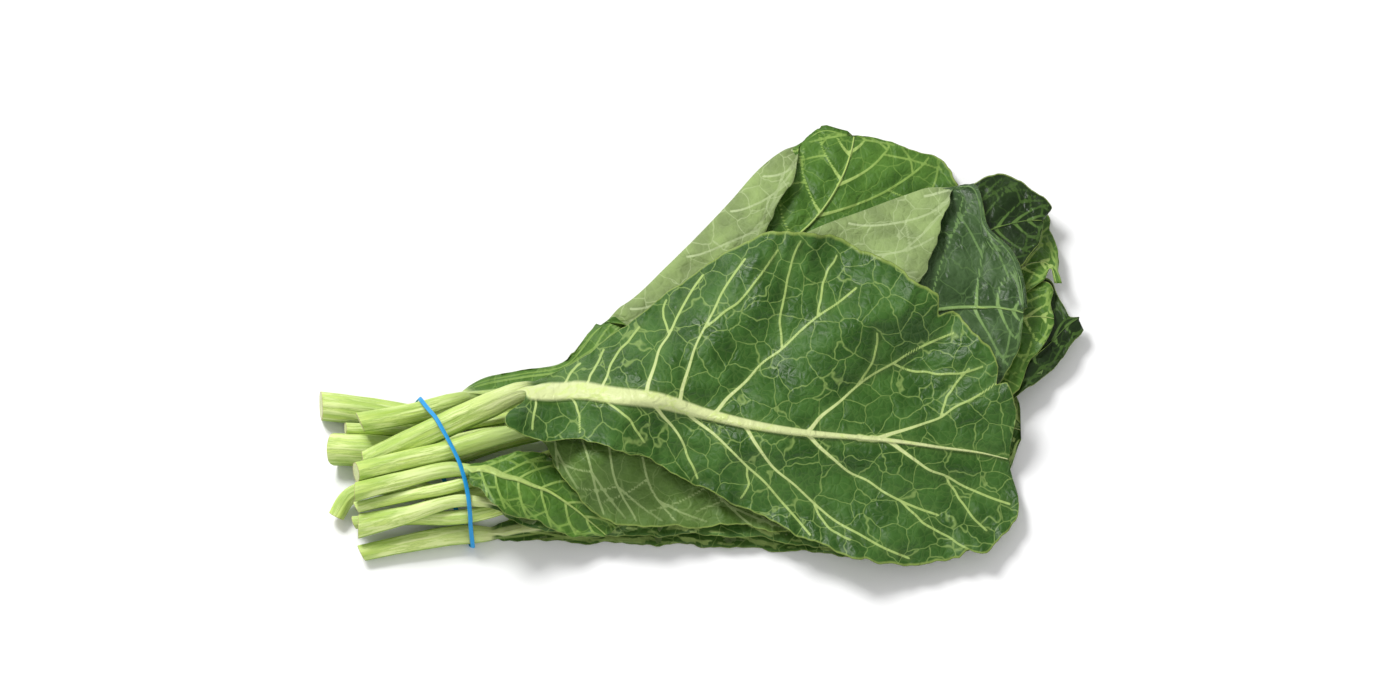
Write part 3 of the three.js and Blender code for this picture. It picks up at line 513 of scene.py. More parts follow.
def fan(leaf, start_edge, margin, seed, count):
    """Side veins from the rib, or from the fold, out to the margin, forked like a feather."""
    chance = np.random.default_rng(seed)
    last = len(leaf["rib"]) - 1
    veins = []
    for n in range(count):
        root = last * ((n + 0.35 + 0.3 * chance.random()) / (count + 0.6)) ** 0.9
        lag = (0.16 - 0.07 * n / count) * last * (1 + 0.25 * chance.random())
        share = np.linspace(0, 0.93 + 0.04 * chance.random(), 9)
        at = np.clip(root + lag * share ** 1.3, 0, last)
        bow = 1 + 0.02 * np.sin(share * 9 + 6 * chance.random())
        line = mix(start_edge(at), margin(at), (share * bow)[:, None])
        veins.append((line, SIDE_WIDTH * leaf["bold"], VEIN_FLARE))
        for turn in (-1, 1):
            split = 4 + int(2 * chance.random()) + (turn > 0)
            far = np.clip(at[split] + turn * lag * 0.75, 0, last)
            end = mix(start_edge(far), margin(far), min(0.94, share[split] + 0.34))
            bend = mix(line[split], end, 0.5) + 0.12 * (line[split + 1] - line[split - 1])
            veins.append((np.array([line[split], bend, end]), FORK_WIDTH * leaf["bold"], 0))
    return veins


def feel_veins(veins, u, v):
    """How much each place lies on a vein, how far off the nearest one is, and how bright it is."""
    core, gap, bright = np.zeros(u.shape), np.full(u.shape, VEIN_FREE), np.zeros(u.shape)
    for line, width, flare in veins:
        fine = curve(line)(np.linspace(0, len(line) - 1, 4 * len(line)))
        low_u, low_v = fine.min(0) - VEIN_REACH
        high_u, high_v = fine.max(0) + VEIN_REACH
        near = np.nonzero((u > low_u) & (u < high_u) & (v > low_v) & (v < high_v))
        if near[0].size == 0:
            continue
        away, at = nearest(fine, u[near], v[near])
        share = at / (len(fine) - 1)
        run = share * length_of(np.diff(fine, axis=0)).sum()
        half = width * mix(1, VEIN_END, share ** 0.8) * (1 + flare * np.exp(-run / FLARE_REACH))
        here = np.clip(1 - away / (VEIN_SPREAD * np.maximum(half, VEIN_LEAST)), 0, 1)
        bright[near] = np.where(here > core[near], half / (half + VEIN_FADE), bright[near])
        core[near] = np.maximum(core[near], here)
        gap[near] = np.minimum(gap[near], away)
    return core, gap, bright


def bowed(start, tip, bow, seed):
    """A line from start to tip that bows to one side and sways a little."""
    share = np.linspace(0, 1, VEIN_POINTS)
    reach = tip - start
    long = float(length_of(reach))
    sideways = np.array([-reach[1], reach[0]]) / long
    sway = VEIN_SWAY * wander(share * long, SWAY_LENGTH, seed) * np.sin(math.pi * share)
    return start + share[:, None] * reach + (4 * bow * share * (1 - share) + sway)[:, None] * sideways


def tip_of(leaf, rib_line, side, end, out):
    """Where a vein ends: a share of the way from the midrib to one point of a margin."""
    margin = leaf["left_edge"] if side == UP else leaf["right_edge"]
    return mix(rib_line(np.array([end]))[0], margin(np.array([end]))[0], out)


def placed_veins(leaf, rib_line):
    """SIDE_VEINS, and the FORKS that leave them, with no flare where they start."""
    veins, lines = [], []
    for n, (side, root, end, out, bow) in enumerate(SIDE_VEINS):
        start = rib_line(np.array([root]))[0]
        lead = rib_line(np.array([max(root - ROOT_LEAD, 0)]))
        lines.append(bowed(start, tip_of(leaf, rib_line, side, end, out), side * bow, n))
        width = SMALL_WIDTH if n in MINOR else SIDE_WIDTH
        veins.append((np.vstack([lead, lines[-1]]), width, VEIN_FLARE))
    for n, (parent, share, end, out, bow) in enumerate(FORKS):
        side = SIDE_VEINS[parent][0]
        start = lines[parent][round(share * (VEIN_POINTS - 1))]
        line = bowed(start, tip_of(leaf, rib_line, side, end, out), side * bow, FORK_SEED + n)
        veins.append((line, FORK_WIDTH, 0))
    return veins


for number, leaf in enumerate(LEAVES):
    def rib_line(at, leaf=leaf):
        return leaf["centre"](leaf["from"] + at)

    small = leaf["name"] == "small_leaf"
    leaf["bold"] = SMALL_BOLD if small else BOLD
    count = SMALL_COUNT if small else FAN_COUNT
    if leaf["name"] == "top_leaf":
        leaf["veins"] = placed_veins(leaf, rib_line)
    else:
        leaf["veins"] = (fan(leaf, rib_line, leaf["left_edge"], number, count)
                         + fan(leaf, rib_line, leaf["right_edge"], 50 + number, count))
    if "flap" in leaf:
        leaf["bold"] = FLAP_BOLD
        leaf["flap_veins"] = fan(leaf, leaf["left_edge"], leaf["flap_edge"], 90 + number, FAN_COUNT)
print("veins on the top leaf", len(LEAVES[-1]["veins"]))

# %% [markdown]
# One leaf is one closed skin. Round the leaf the skin has an upper and a lower half, and along it
# there is a ring of points every millimetre or so: round rings on the stem, which open into the flat
# blade. This cell works out one half of the blade, at many places along and across at once.

# %% The blade
RIB_NARROWS = [1, 0.8, 0.6, 0.45, 0.3]
RIB_TIP = 0.12
THICK = 0.62
OPEN_WIDTH = 14
OPENS_BEFORE, OPENS_OVER = 0.25, 0.85   # where the round stem opens into the flat blade
LEAN_REACH = 40
TOOTH, TOOTH_LENGTH = 1.1, 34
NICK, NICK_LENGTH = 0.15, 8
RUFFLE = 1.3
PUFF, PUFF_REACH = 1.3, 6.0
CRUMPLE, CRUMPLE_LENGTH = 0.75, 30
JOIN_OVER, JOIN_WIDENS = 3.2, 1.2       # where a thick stem sinks and widens into the midrib
RIB_ROOM, JOIN_ROOM, LEAST_SLANT = 0.6, 0.95, 0.55


def ragged(leaf, edge, at, inward, seed):
    """A margin with its wandering, small nicks and any deeper notches."""
    line = edge(at)
    run = np.cumsum(np.append(0, length_of(np.diff(line, axis=0))))
    depth = TOOTH * wander(run, TOOTH_LENGTH, seed) + NICK * wander(run, NICK_LENGTH, seed + 1)
    depth = depth * smooth(np.minimum(run, run[-1] - run) / 6)
    for u, v, deep, wide in leaf.get("notches", []):
        away = np.hypot(line[:, 0] - u, line[:, 1] - v)
        depth = depth + deep * np.clip(1 - away / wide, 0, 1) ** 1.3
    span = np.maximum(length_of(inward - line), 0.01)
    return line + (inward - line) / span[:, None] * np.minimum(depth, 0.5 * span)[:, None], run


def held_off(rib, edge, least):
    """The edge, moved out from the rib where it is nearer than least."""
    return rib + (edge - rib) * np.maximum(1, least / np.maximum(length_of(edge - rib), 0.01))[:, None]


def blade(leaf, t, kinds, shares, seed):
    """Places, thickness and marks of the blade at each station t, for each (kind, share) across."""
    last = len(leaf["rib"]) - 1
    at = np.clip(t - leaf["from"], 0, last)
    along = at / last
    shrink = mix(1, 0.25, along)
    base = float(stem_radius(leaf, np.array(float(leaf["from"]))))
    half = base * mix(np.interp(along * 4, range(5), RIB_NARROWS), RIB_TIP, along)
    if "rib_half" in leaf:
        half = np.interp(at, range(last + 1), leaf["rib_half"])
    rib = leaf["centre"](t)
    left, left_run = leaf["left_edge"](at), at
    if "flap" not in leaf:
        left, left_run = ragged(leaf, leaf["left_edge"], at, rib, seed)
    right, right_run = ragged(leaf, leaf["right_edge"], at, rib, seed + 3)
    room = RIB_ROOM
    if "join" in leaf:
        opening = smooth(at / JOIN_WIDENS)
        least = leaf["join"] * base * (1 - opening)
        left, right = held_off(rib, left, least), held_off(rib, right, least)
        room = mix(JOIN_ROOM, RIB_ROOM, opening)
    across = (left - right) / np.maximum(length_of(left - right), 0.01)[:, None]
    if "join" in leaf:
        along_rib = leaf["centre"](t + 0.1) - leaf["centre"](t - 0.1)
        slant = np.abs(across[:, 0] * along_rib[:, 1] - across[:, 1] * along_rib[:, 0])
        slant = slant / np.maximum(length_of(along_rib), 0.01)
        half = half / np.maximum(slant, LEAST_SLANT)
    to_left = np.minimum(half, room * length_of(rib - left))
    to_right = np.minimum(half, room * length_of(rib - right))
    size = (len(t), len(kinds))
    place, lift, turn, out = np.zeros(size + (2,)), np.zeros(size), np.zeros(size), np.zeros(size + (2,))
    thick, ribbed, border, run = np.full(size, THICK), np.zeros(size), np.zeros(size), np.zeros(size)
    is_flap = np.array([kind in ("flap", "bend") for kind in kinds])
    if "flap" in leaf:
        margin, flap_run = ragged(leaf, leaf["flap_edge"], at, left, seed + 6)
        width = length_of(leaf["left_edge"](at) - leaf["flap_edge"](at))
        opened = smooth(width / OPEN_WIDTH)
        step = leaf["left_edge"](np.minimum(at + 0.2, last)) - leaf["left_edge"](np.maximum(at - 0.2, 0))
        step = step / np.maximum(length_of(step), 0.01)[:, None]
        outward = np.stack([-step[:, 1], step[:, 0]], -1)
    for j, (kind, share) in enumerate(zip(kinds, shares)):
        if kind == "rib":
            reach = np.where(share > 0, to_left, to_right)
            place[:, j] = rib + across * (share * reach)[:, None]
            bulge = (1 - share * share) ** 0.75
            crest = leaf["ridge"][0] * shrink
            if "join" in leaf:
                crest = mix(leaf["join"] * base, crest, smooth(at / JOIN_OVER))
            lift[:, j] = crest * bulge
            thick[:, j] += (crest + leaf["ridge"][1] * shrink) * bulge
            ribbed[:, j] = 1 - abs(share)
        elif kind in ("left", "right"):
            edge, reach = (left, to_left) if kind == "left" else (right, -to_right)
            start = rib + across * reach[:, None]
            place[:, j] = mix(start, edge, share)
            if kind == "right" or "flap" not in leaf:
                border[:, j] = share
                run[:, j] = left_run if kind == "left" else right_run
        else:
            round_off = 1 if kind == "flap" else share
            arc = math.pi * round_off
            place[:, j] = mix(left, margin, share) if kind == "flap" else left
            lift[:, j] = opened * ROLL_RADIUS * (1 - math.cos(arc))
            turn[:, j] = arc * opened
            crowd = (1 - opened) * 0.6 * (2 + 2 * share if kind == "flap" else 2 * share)
            push = crowd + (opened * ROLL_RADIUS * math.sin(arc) if kind == "bend" else 0)
            place[:, j] += outward * push[:, None]
            out[:, j] = outward
            if kind == "flap":
                border[:, j] = share
                run[:, j] = flap_run
    u, v = place[..., 0], place[..., 1]
    felt = feel_veins(leaf["veins"], u, v)
    if "flap" in leaf:
        felt = [np.where(is_flap, a, b) for a, b in zip(feel_veins(leaf["flap_veins"], u, v), felt)]
    core, gap, bright = felt
    away = length_of(place - rib[:, None])
    rib_gap = np.where(is_flap, 30, np.maximum(away - half[:, None], 0))
    gap = np.minimum(gap, rib_gap)
    puff = PUFF * (1 - np.exp(-((gap / PUFF_REACH) ** 2))) * smooth(rib_gap / 6)
    ruffle = RUFFLE * smooth((border - 0.62) / 0.38) * wander(run, 34, seed + 9)
    detail = puff + 0.28 * smooth(core * 1.6) + ruffle
    detail = detail + CRUMPLE * crumple(u, v, CRUMPLE_LENGTH, seed + 12) * smooth(rib_gap / 14)
    grown = smooth((t - leaf["from"] + OPENS_BEFORE) / OPENS_OVER)[:, None]
    lean = (centre_height(leaf, t) - height_at(leaf, rib[:, 0], rib[:, 1]))[:, None]
    z = height_at(leaf, u, v) + lean * np.exp(-away / LEAN_REACH) + lift + detail * grown * np.cos(turn)
    thin = thick * mix(1, 0.55, smooth((border - 0.94) / 0.06))
    fall, slip = np.cos(turn) * thin, np.sin(turn) * thin
    top = to_room(u, v, np.maximum(z, BLADE))
    under = to_room(u + out[..., 0] * slip, v + out[..., 1] * slip, z - fall)
    marks = dict(vein=core, bright=bright, gap=gap, rib=ribbed, border=border, u=u, v=v, grown=grown + 0 * u)
    return top, under, marks


print("rib narrows to", RIB_TIP, "of its width at the tip")

# %% [markdown]
# The skin starts as a flat grid with a row for each ring and a column for each place round it. The
# grid is rolled up: every point moves to its place on the leaf. Then, in edit mode, the seam and the
# two ends are merged and the faces are turned outwards, which leaves one closed body.

# %% Skin of one leaf
CUT_RINGS = [0, 0.35, 0.62, 0.82, 0.93, 0.985]
CUT_TILT = 0.3
HALO_REACH = 4
STEM_GROOVE = 0.035
STEM_RING_STEP = 1.4
PALE_FROM, PALE_OVER = 2.4, 2.6     # a stem pales towards its blade over these point numbers


def layout_across(leaf, left_count, right_count, rib_count, flap_count, bend_count):
    """(kind, share) from the left margin to the right one."""
    rows = []
    if "flap" in leaf:
        rows += [("flap", s) for s in np.linspace(1, 0, flap_count)]
        rows += [("bend", s) for s in np.linspace(1, 0, bend_count + 2)[1:-1]]
    rows += [("left", s) for s in np.linspace(1, 0, left_count, endpoint=False)]
    rows += [("rib", s) for s in np.linspace(1, -1, rib_count)]
    rows += [("right", s) for s in np.linspace(0, 1, right_count + 1)[1:]]
    return [kind for kind, _ in rows], np.array([share for _, share in rows])


def stations(leaf, step):
    """Point numbers along the leaf, evenly spaced along its middle."""
    fine = np.linspace(0, leaf["from"] + len(leaf["rib"]) - 1, 4000)
    run = np.cumsum(np.append(0, length_of(np.diff(leaf["centre"](fine), axis=0))))
    stem_length = np.interp(leaf["from"] - 0.3, fine, run)
    stem_run = np.linspace(0.5, stem_length, int(stem_length / STEM_RING_STEP))
    blade_run = np.linspace(stem_length, run[-1], int((run[-1] - stem_length) / step))
    runs = np.concatenate([stem_run, blade_run[1:]])
    return np.interp(runs, run, fine), runs


def ring_frame(leaf, t):
    end = leaf["from"] + len(leaf["rib"]) - 1
    ahead, behind = np.minimum(t + 0.15, end), np.maximum(t - 0.15, 0)

    def middle(at):
        place = leaf["centre"](at)
        return to_room(place[:, 0], place[:, 1], centre_height(leaf, at))

    forward = middle(ahead) - middle(behind)
    forward /= np.linalg.norm(forward, axis=1)[:, None]
    side = np.cross([0, 0, 1], forward)
    side /= np.linalg.norm(side, axis=1)[:, None]
    return middle(t), forward, side, np.cross(forward, side)


def leaf_rings(leaf, seed):
    """All points of the skin, ring by ring, with what each point is made of."""
    grain = leaf["grain"]
    numbers = np.linspace(0, len(leaf["rib"]) - 1, EDGE_STEPS + 1)
    rib = leaf["centre"](leaf["from"] + numbers)
    wide = [int(length_of(leaf[side + "_edge"](numbers) - rib).max() / grain) for side in ("left", "right")]
    folded = 0
    if "flap" in leaf:
        folded = int(length_of(leaf["flap_edge"](numbers) - leaf["left_edge"](numbers)).max() / grain)
        upper = layout_across(leaf, int(wide[0] * 0.7), wide[1], 9, folded // 3, 6)
        lower = layout_across(leaf, wide[0] // 5, wide[1] // 5, 5, folded, 12)
    else:
        upper = layout_across(leaf, wide[0], wide[1], 11, 0, 0)
        lower = layout_across(leaf, wide[0] // 5, wide[1] // 5, 5, 0, 0)
    t, run = stations(leaf, grain * 0.8)
    top, _, top_marks = blade(leaf, t, *upper, seed)
    _, low, low_marks = blade(leaf, t, *lower, seed)
    halves = [top, low[:, ::-1]]
    nt, nb = top.shape[1], low.shape[1]
    turns = [math.pi * (np.arange(n) + 1) / (n + 1) for n in (nt, nb)]
    turns[1] = math.pi + turns[1]
    angle = np.concatenate([turns[0], [math.pi], turns[1], [0]])

    def margin(a, b, inner):
        middle = (a + b) / 2
        away = middle - inner
        away /= np.maximum(np.linalg.norm(away, axis=1)[:, None], 0.01)
        return middle + away * 0.22

    right_edge = margin(top[:, -1], low[:, -1], top[:, -2])
    left_edge = margin(top[:, 0], low[:, 0], top[:, 1])
    blade_ring = np.concatenate([halves[0], right_edge[:, None], halves[1], left_edge[:, None]], 1)
    middle, forward, side, up = ring_frame(leaf, t)
    radius = stem_radius(leaf, np.minimum(t, leaf["from"]))[:, None]
    chance = np.random.default_rng(seed + 20)
    phases = chance.uniform(0, 6.3, 4)
    grooves = (np.sin(3 * angle + phases[0] + run[:, None] * 0.012) * 0.8
               + 0.55 * np.sin(7 * angle + phases[1] + run[:, None] * 0.02)
               + 0.3 * np.sin(13 * angle + phases[2]))
    uneven = 0.03 * wander(run, 70, seed + 21)[:, None]
    shape = radius * (1 + STEM_GROOVE * grooves + uneven)
    stem_ring = (middle[:, None] + side[:, None] * (np.cos(angle) * shape)[..., None]
                 + up[:, None] * (np.sin(angle) * shape)[..., None])
    grown = smooth((t - leaf["from"] + OPENS_BEFORE) / OPENS_OVER)[:, None, None]
    rings = mix(stem_ring, blade_ring, grown)
    slope = CUT_TILT * radius[0, 0] * (1 + np.cos(angle - phases[3]))
    rings += forward[:, None] * (slope * np.clip(1 - run[:, None] / 30, 0, 1))[..., None]
    face = [mix(rings[0].mean(0), rings[0] - forward[0] * 0.35, f) for f in CUT_RINGS]
    tip = np.repeat(rings[-1].mean(0)[None], rings.shape[1], 0)
    points = np.concatenate([face, rings, [tip]])
    points[..., 2] = np.maximum(points[..., 2], 0.02)

    def spread(name):
        a, b = top_marks[name], low_marks[name][:, ::-1]
        ring = np.concatenate([a, a[:, -1:], b, a[:, :1]], 1)
        first = np.repeat(ring[:1], len(CUT_RINGS), 0)
        return np.concatenate([first, ring, ring[-1:]])

    rows, columns = points.shape[:2]
    marks = {name: spread(name) for name in top_marks}
    marks["under"] = np.zeros((rows, columns))
    marks["under"][:, nt + 1:-1] = 1
    marks["under"][:, [nt, -1]] = 0.5
    marks["cut"] = np.zeros((rows, columns))
    marks["cut"][:len(CUT_RINGS)] = np.array([1, 0.9, 0.8, 0.65, 0.5, 0.3])[:, None]
    pale = smooth((t - leaf["from"] + PALE_FROM) / PALE_OVER)
    marks["end"] = np.concatenate([np.zeros(len(CUT_RINGS)), pale, [1]])[:, None] + np.zeros(columns)
    marks["run"] = np.concatenate([np.zeros(len(CUT_RINGS)), run, run[-1:]])[:, None] + np.zeros(columns)
    marks["angle"] = angle[None] + np.zeros((rows, 1))
    radii = np.concatenate([CUT_RINGS * radius[0], radius[:, 0], radius[-1]])
    marks["radius"] = radii[:, None] + np.zeros(columns)
    return points * MM, marks


def close_up():
    """Merges what meets, turns the faces of the piece in hand outwards and smooths them."""
    bpy.ops.object.mode_set(mode="EDIT")
    bpy.ops.mesh.select_all(action="SELECT")
    bpy.ops.mesh.remove_doubles(threshold=1e-6)
    bpy.ops.mesh.normals_make_consistent(inside=False)
    bpy.ops.object.mode_set(mode="OBJECT")
    bpy.ops.object.shade_smooth()


def skin(name, points, marks):
    rows, columns = points.shape[:2]
    bpy.ops.object.select_all(action="DESELECT")
    bpy.ops.mesh.primitive_grid_add(x_subdivisions=columns, y_subdivisions=rows - 1, size=1)
    piece = bpy.context.object
    piece.name = piece.data.name = name
    mesh = piece.data
    flat = np.empty(len(mesh.vertices) * 3)
    mesh.vertices.foreach_get("co", flat)
    flat = flat.reshape(-1, 3)
    column = np.rint((flat[:, 0] + 0.5) * columns).astype(int) % columns
    row = np.rint((flat[:, 1] + 0.5) * (rows - 1)).astype(int)
    mesh.vertices.foreach_set("co", points[row, column].ravel())
    shown = {
        "vein_marks": (marks["vein"], np.exp(-marks["gap"] / HALO_REACH), marks["rib"]),
        "leaf_zones": (marks["under"], marks["border"], marks["grown"]),
        "leaf_place": (marks["u"] / 100, marks["v"] / 100, marks["under"] * 3),
        "stem_place": (np.cos(marks["angle"]) * marks["radius"] / 10,
                       np.sin(marks["angle"]) * marks["radius"] / 10, marks["run"] / 10),
    }
    for label, parts in shown.items():
        layer = mesh.attributes.new(label, "FLOAT_VECTOR", "POINT")
        values = np.stack([part[row, column] for part in parts], -1)
        layer.data.foreach_set("vector", values.astype(np.float32).ravel())
    for label, part in (("cut_face", marks["cut"]), ("vein_bright", marks["bright"]),
                        ("stem_end", marks["end"])):
        layer = mesh.attributes.new(label, "FLOAT", "POINT")
        layer.data.foreach_set("value", part[row, column].astype(np.float32))
    close_up()
    return piece


print("a cut end has", len(CUT_RINGS), "rings")

# %% [markdown]
# Three effects are shared by all the leaves, so each is built once as a node group: the net of fine
# veins, the soft mottling of a blade, and the streaks along a stem. They read the places stored on
# the skin, so the patterns follow the leaf wherever it bends.

# %% Node helpers
def add(tree, kind, inputs=None, **settings):
    node = tree.nodes.new(kind)
    for key, value in settings.items():
        setattr(node, key, value)
    for key, value in (inputs or {}).items():
        if isinstance(value, bpy.types.NodeSocket):
            tree.links.new(value, node.inputs[key])
        else:
            node.inputs[key].default_value = value
    return node


def reckon(tree, operation, *values):
    inputs = dict(enumerate(values))
    return add(tree, "ShaderNodeMath", inputs, operation=operation, use_clamp=False).outputs[0]


def ramp(tree, value, start, end, low=0.0, high=1.0):
    limits = {"Value": value, "From Min": start, "From Max": end, "To Min": low, "To Max": high}
    return add(tree, "ShaderNodeMapRange", limits, interpolation_type="SMOOTHSTEP").outputs["Result"]


def blend(tree, share, under, over):
    node = add(tree, "ShaderNodeMix", data_type="RGBA")
    for socket, value in zip((node.inputs[0], node.inputs[6], node.inputs[7]), (share, under, over)):
        if isinstance(value, bpy.types.NodeSocket):
            tree.links.new(value, socket)
        else:
            socket.default_value = value
    return node.outputs[2]


def stored(tree, name, output="Vector"):
    node = add(tree, "ShaderNodeAttribute", attribute_name=name, attribute_type="GEOMETRY")
    return node.outputs[output]


def parts_of(tree, vector):
    return add(tree, "ShaderNodeSeparateXYZ", {0: vector}).outputs


def new_group(name, sockets_in, sockets_out):
    tree = bpy.data.node_groups.new(name, "ShaderNodeTree")
    for label, kind, value in sockets_in:
        socket = tree.interface.new_socket(label, in_out="INPUT", socket_type=kind)
        socket.default_value = value
    for label, kind in sockets_out:
        tree.interface.new_socket(label, in_out="OUTPUT", socket_type=kind)
    return tree, tree.nodes.new("NodeGroupInput").outputs, tree.nodes.new("NodeGroupOutput").inputs


FLOAT = "NodeSocketFloat"
print("node helpers ready")

# %% [markdown]
# The net of fine veins is the seams between uneven cells, a little bent by a soft noise. The blade
# puffs up inside each cell, and that cushion is handed out beside the line.

# %% The net of fine veins
net, given, result = new_group("fine_vein_net", [("Mesh Size", FLOAT, 8.0), ("Line Width", FLOAT, 0.035)],
                               [("Line", FLOAT), ("Cushion", FLOAT)])
place = stored(net, "leaf_place")
bend = add(net, "ShaderNodeTexNoise", {"Vector": place, "Scale": 9.0, "Detail": 2.0})
shift = add(net, "ShaderNodeVectorMath", {0: bend.outputs["Color"], 1: (0.5, 0.5, 0.5)}, operation="SUBTRACT")
shift = add(net, "ShaderNodeVectorMath", {0: shift.outputs[0], "Scale": 0.07}, operation="SCALE")
bent = add(net, "ShaderNodeVectorMath", {0: place, 1: shift.outputs[0]}, operation="ADD")
cells = add(net, "ShaderNodeTexVoronoi", {"Vector": bent.outputs[0], "Scale": given["Mesh Size"]},
            feature="DISTANCE_TO_EDGE")
line = ramp(net, cells.outputs["Distance"], 0.0, given["Line Width"], 1.0, 0.0)
net.links.new(line, result["Line"])
net.links.new(ramp(net, cells.outputs["Distance"], 0.0, 0.32), result["Cushion"])
print("net of veins", len(net.nodes), "nodes")

# %% [markdown]
# A blade is darker in some patches than in others, and has a fine grain all over.

# %% The mottling of a blade
mottle, given, result = new_group("blade_mottle", [("Patch Size", FLOAT, 5.0)],
                                  [("Patches", FLOAT), ("Grain", FLOAT)])
place = stored(mottle, "leaf_place")
patches = add(mottle, "ShaderNodeTexNoise", {"Vector": place, "Scale": given["Patch Size"], "Detail": 4.0,
                                             "Roughness": 0.55})
mottle.links.new(ramp(mottle, patches.outputs["Fac"], 0.32, 0.7), result["Patches"])
grain = add(mottle, "ShaderNodeTexNoise", {"Vector": place, "Scale": 160.0, "Detail": 3.0})
mottle.links.new(grain.outputs["Fac"], result["Grain"])
print("mottling", len(mottle.nodes), "nodes")

# %% [markdown]
# A stem is streaked along its length. The noise is drawn out that way, and where it passes its middle
# value it leaves a thin line, which the finish paints darker as the shade in a groove between ridges.

# %% The streaks along a stem
streaks, given, result = new_group("stem_streaks", [("Fineness", FLOAT, 4.0)],
                                   [("Streaks", FLOAT), ("Blotches", FLOAT), ("Crease_Shade", FLOAT)])
place = stored(streaks, "stem_place")
drawn = add(streaks, "ShaderNodeMapping", {"Vector": place, "Scale": (1.0, 1.0, 0.07)})
lines = add(streaks, "ShaderNodeTexNoise", {"Vector": drawn.outputs[0], "Scale": given["Fineness"],
                                            "Detail": 5.0, "Roughness": 0.65})
streaks.links.new(ramp(streaks, lines.outputs["Fac"], 0.35, 0.65), result["Streaks"])
broad = add(streaks, "ShaderNodeMapping", {"Vector": place, "Scale": (1.0, 1.0, 0.16)})
blots = add(streaks, "ShaderNodeTexNoise", {"Vector": broad.outputs[0], "Scale": 2.2, "Detail": 3.0})
streaks.links.new(ramp(streaks, blots.outputs["Fac"], 0.42, 0.66), result["Blotches"])
away = reckon(streaks, "ABSOLUTE", reckon(streaks, "SUBTRACT", lines.outputs["Fac"], 0.5))
streaks.links.new(ramp(streaks, away, 0.0, 0.035, 1.0, 0.0), result["Crease_Shade"])
print("node groups", [group.name for group in bpy.data.node_groups])

# %% [markdown]
# A leaf's finish lays these over one another, as they lie on the real leaf: mottled green blade, the net,
# the side veins with a lighter halo, the pale midrib, the thin light margin, the matt underside, and the
# yellow-green stem with its cut face. Over the stem it also paints shade: thin darker lines along its
# grooves and a deeper green over its lower half. Each leaf has its own greens.

# %% Leaf finishes
RIB_PALE = (0.58, 0.64, 0.30, 1)
STEM_PALE, STEM_GREEN = (0.50, 0.65, 0.14, 1), (0.24, 0.41, 0.04, 1)
# The second colour on the next line is painted shade for the lower half of each stem.
STEM_WHITE, STEM_PAINTED_SHADE = (0.70, 0.80, 0.34, 1), (0.14, 0.28, 0.02, 1)
CUT_PITH, CUT_RIM = (0.56, 0.62, 0.30, 1), (0.42, 0.33, 0.17, 1)
EDGE_LIGHT = (0.24, 0.33, 0.07, 1)
COARSE_NET, FINE_NET = (7.5, 0.03), (24.0, 0.09)    # meshes in 100 mm, and width of the lines
FINISHES = {
    "deep": dict(dark=(0.014, 0.055, 0.004, 1), light=(0.040, 0.120, 0.011, 1), under=(0.20, 0.29, 0.10, 1),
                 vein=(0.33, 0.45, 0.13, 1), rib=RIB_PALE, mesh=0.8, rough=0.44, bloom=0.05),
    "fresh": dict(dark=(0.026, 0.085, 0.006, 1), light=(0.070, 0.170, 0.018, 1), under=(0.26, 0.36, 0.12, 1),
                  vein=(0.22, 0.35, 0.07, 1), rib=(0.36, 0.48, 0.14, 1), mesh=0.7, rough=0.46, bloom=0.0),
    "glossy": dict(dark=(0.0024, 0.0096, 0.0008, 1), light=(0.0104, 0.0304, 0.0032, 1),
                   under=(0.14, 0.22, 0.06, 1),
                   vein=(0.045, 0.095, 0.015, 1), rib=(0.10, 0.18, 0.04, 1), mesh=0.6, rough=0.34, bloom=0.0),
    "bloomed": dict(dark=(0.014, 0.040, 0.008, 1), light=(0.045, 0.098, 0.025, 1),
                    under=(0.27, 0.37, 0.13, 1),
                    vein=(0.13, 0.23, 0.07, 1), rib=(0.20, 0.32, 0.10, 1), mesh=0.6, rough=0.42, bloom=0.1),
    "pale": dict(dark=(0.046, 0.100, 0.012, 1), light=(0.088, 0.165, 0.024, 1), under=(0.13, 0.22, 0.05, 1),
                 vein=(0.26, 0.35, 0.13, 1), rib=(0.34, 0.45, 0.16, 1), mesh=0.55, rough=0.56, bloom=0.08),
}


FROST, WHITE_VEIN = (0.22, 0.29, 0.22, 1), (0.75, 0.82, 0.55, 1)


def between(one, other, share):
    return tuple(mix(np.array(one[:3]), np.array(other[:3]), share)) + (1,)


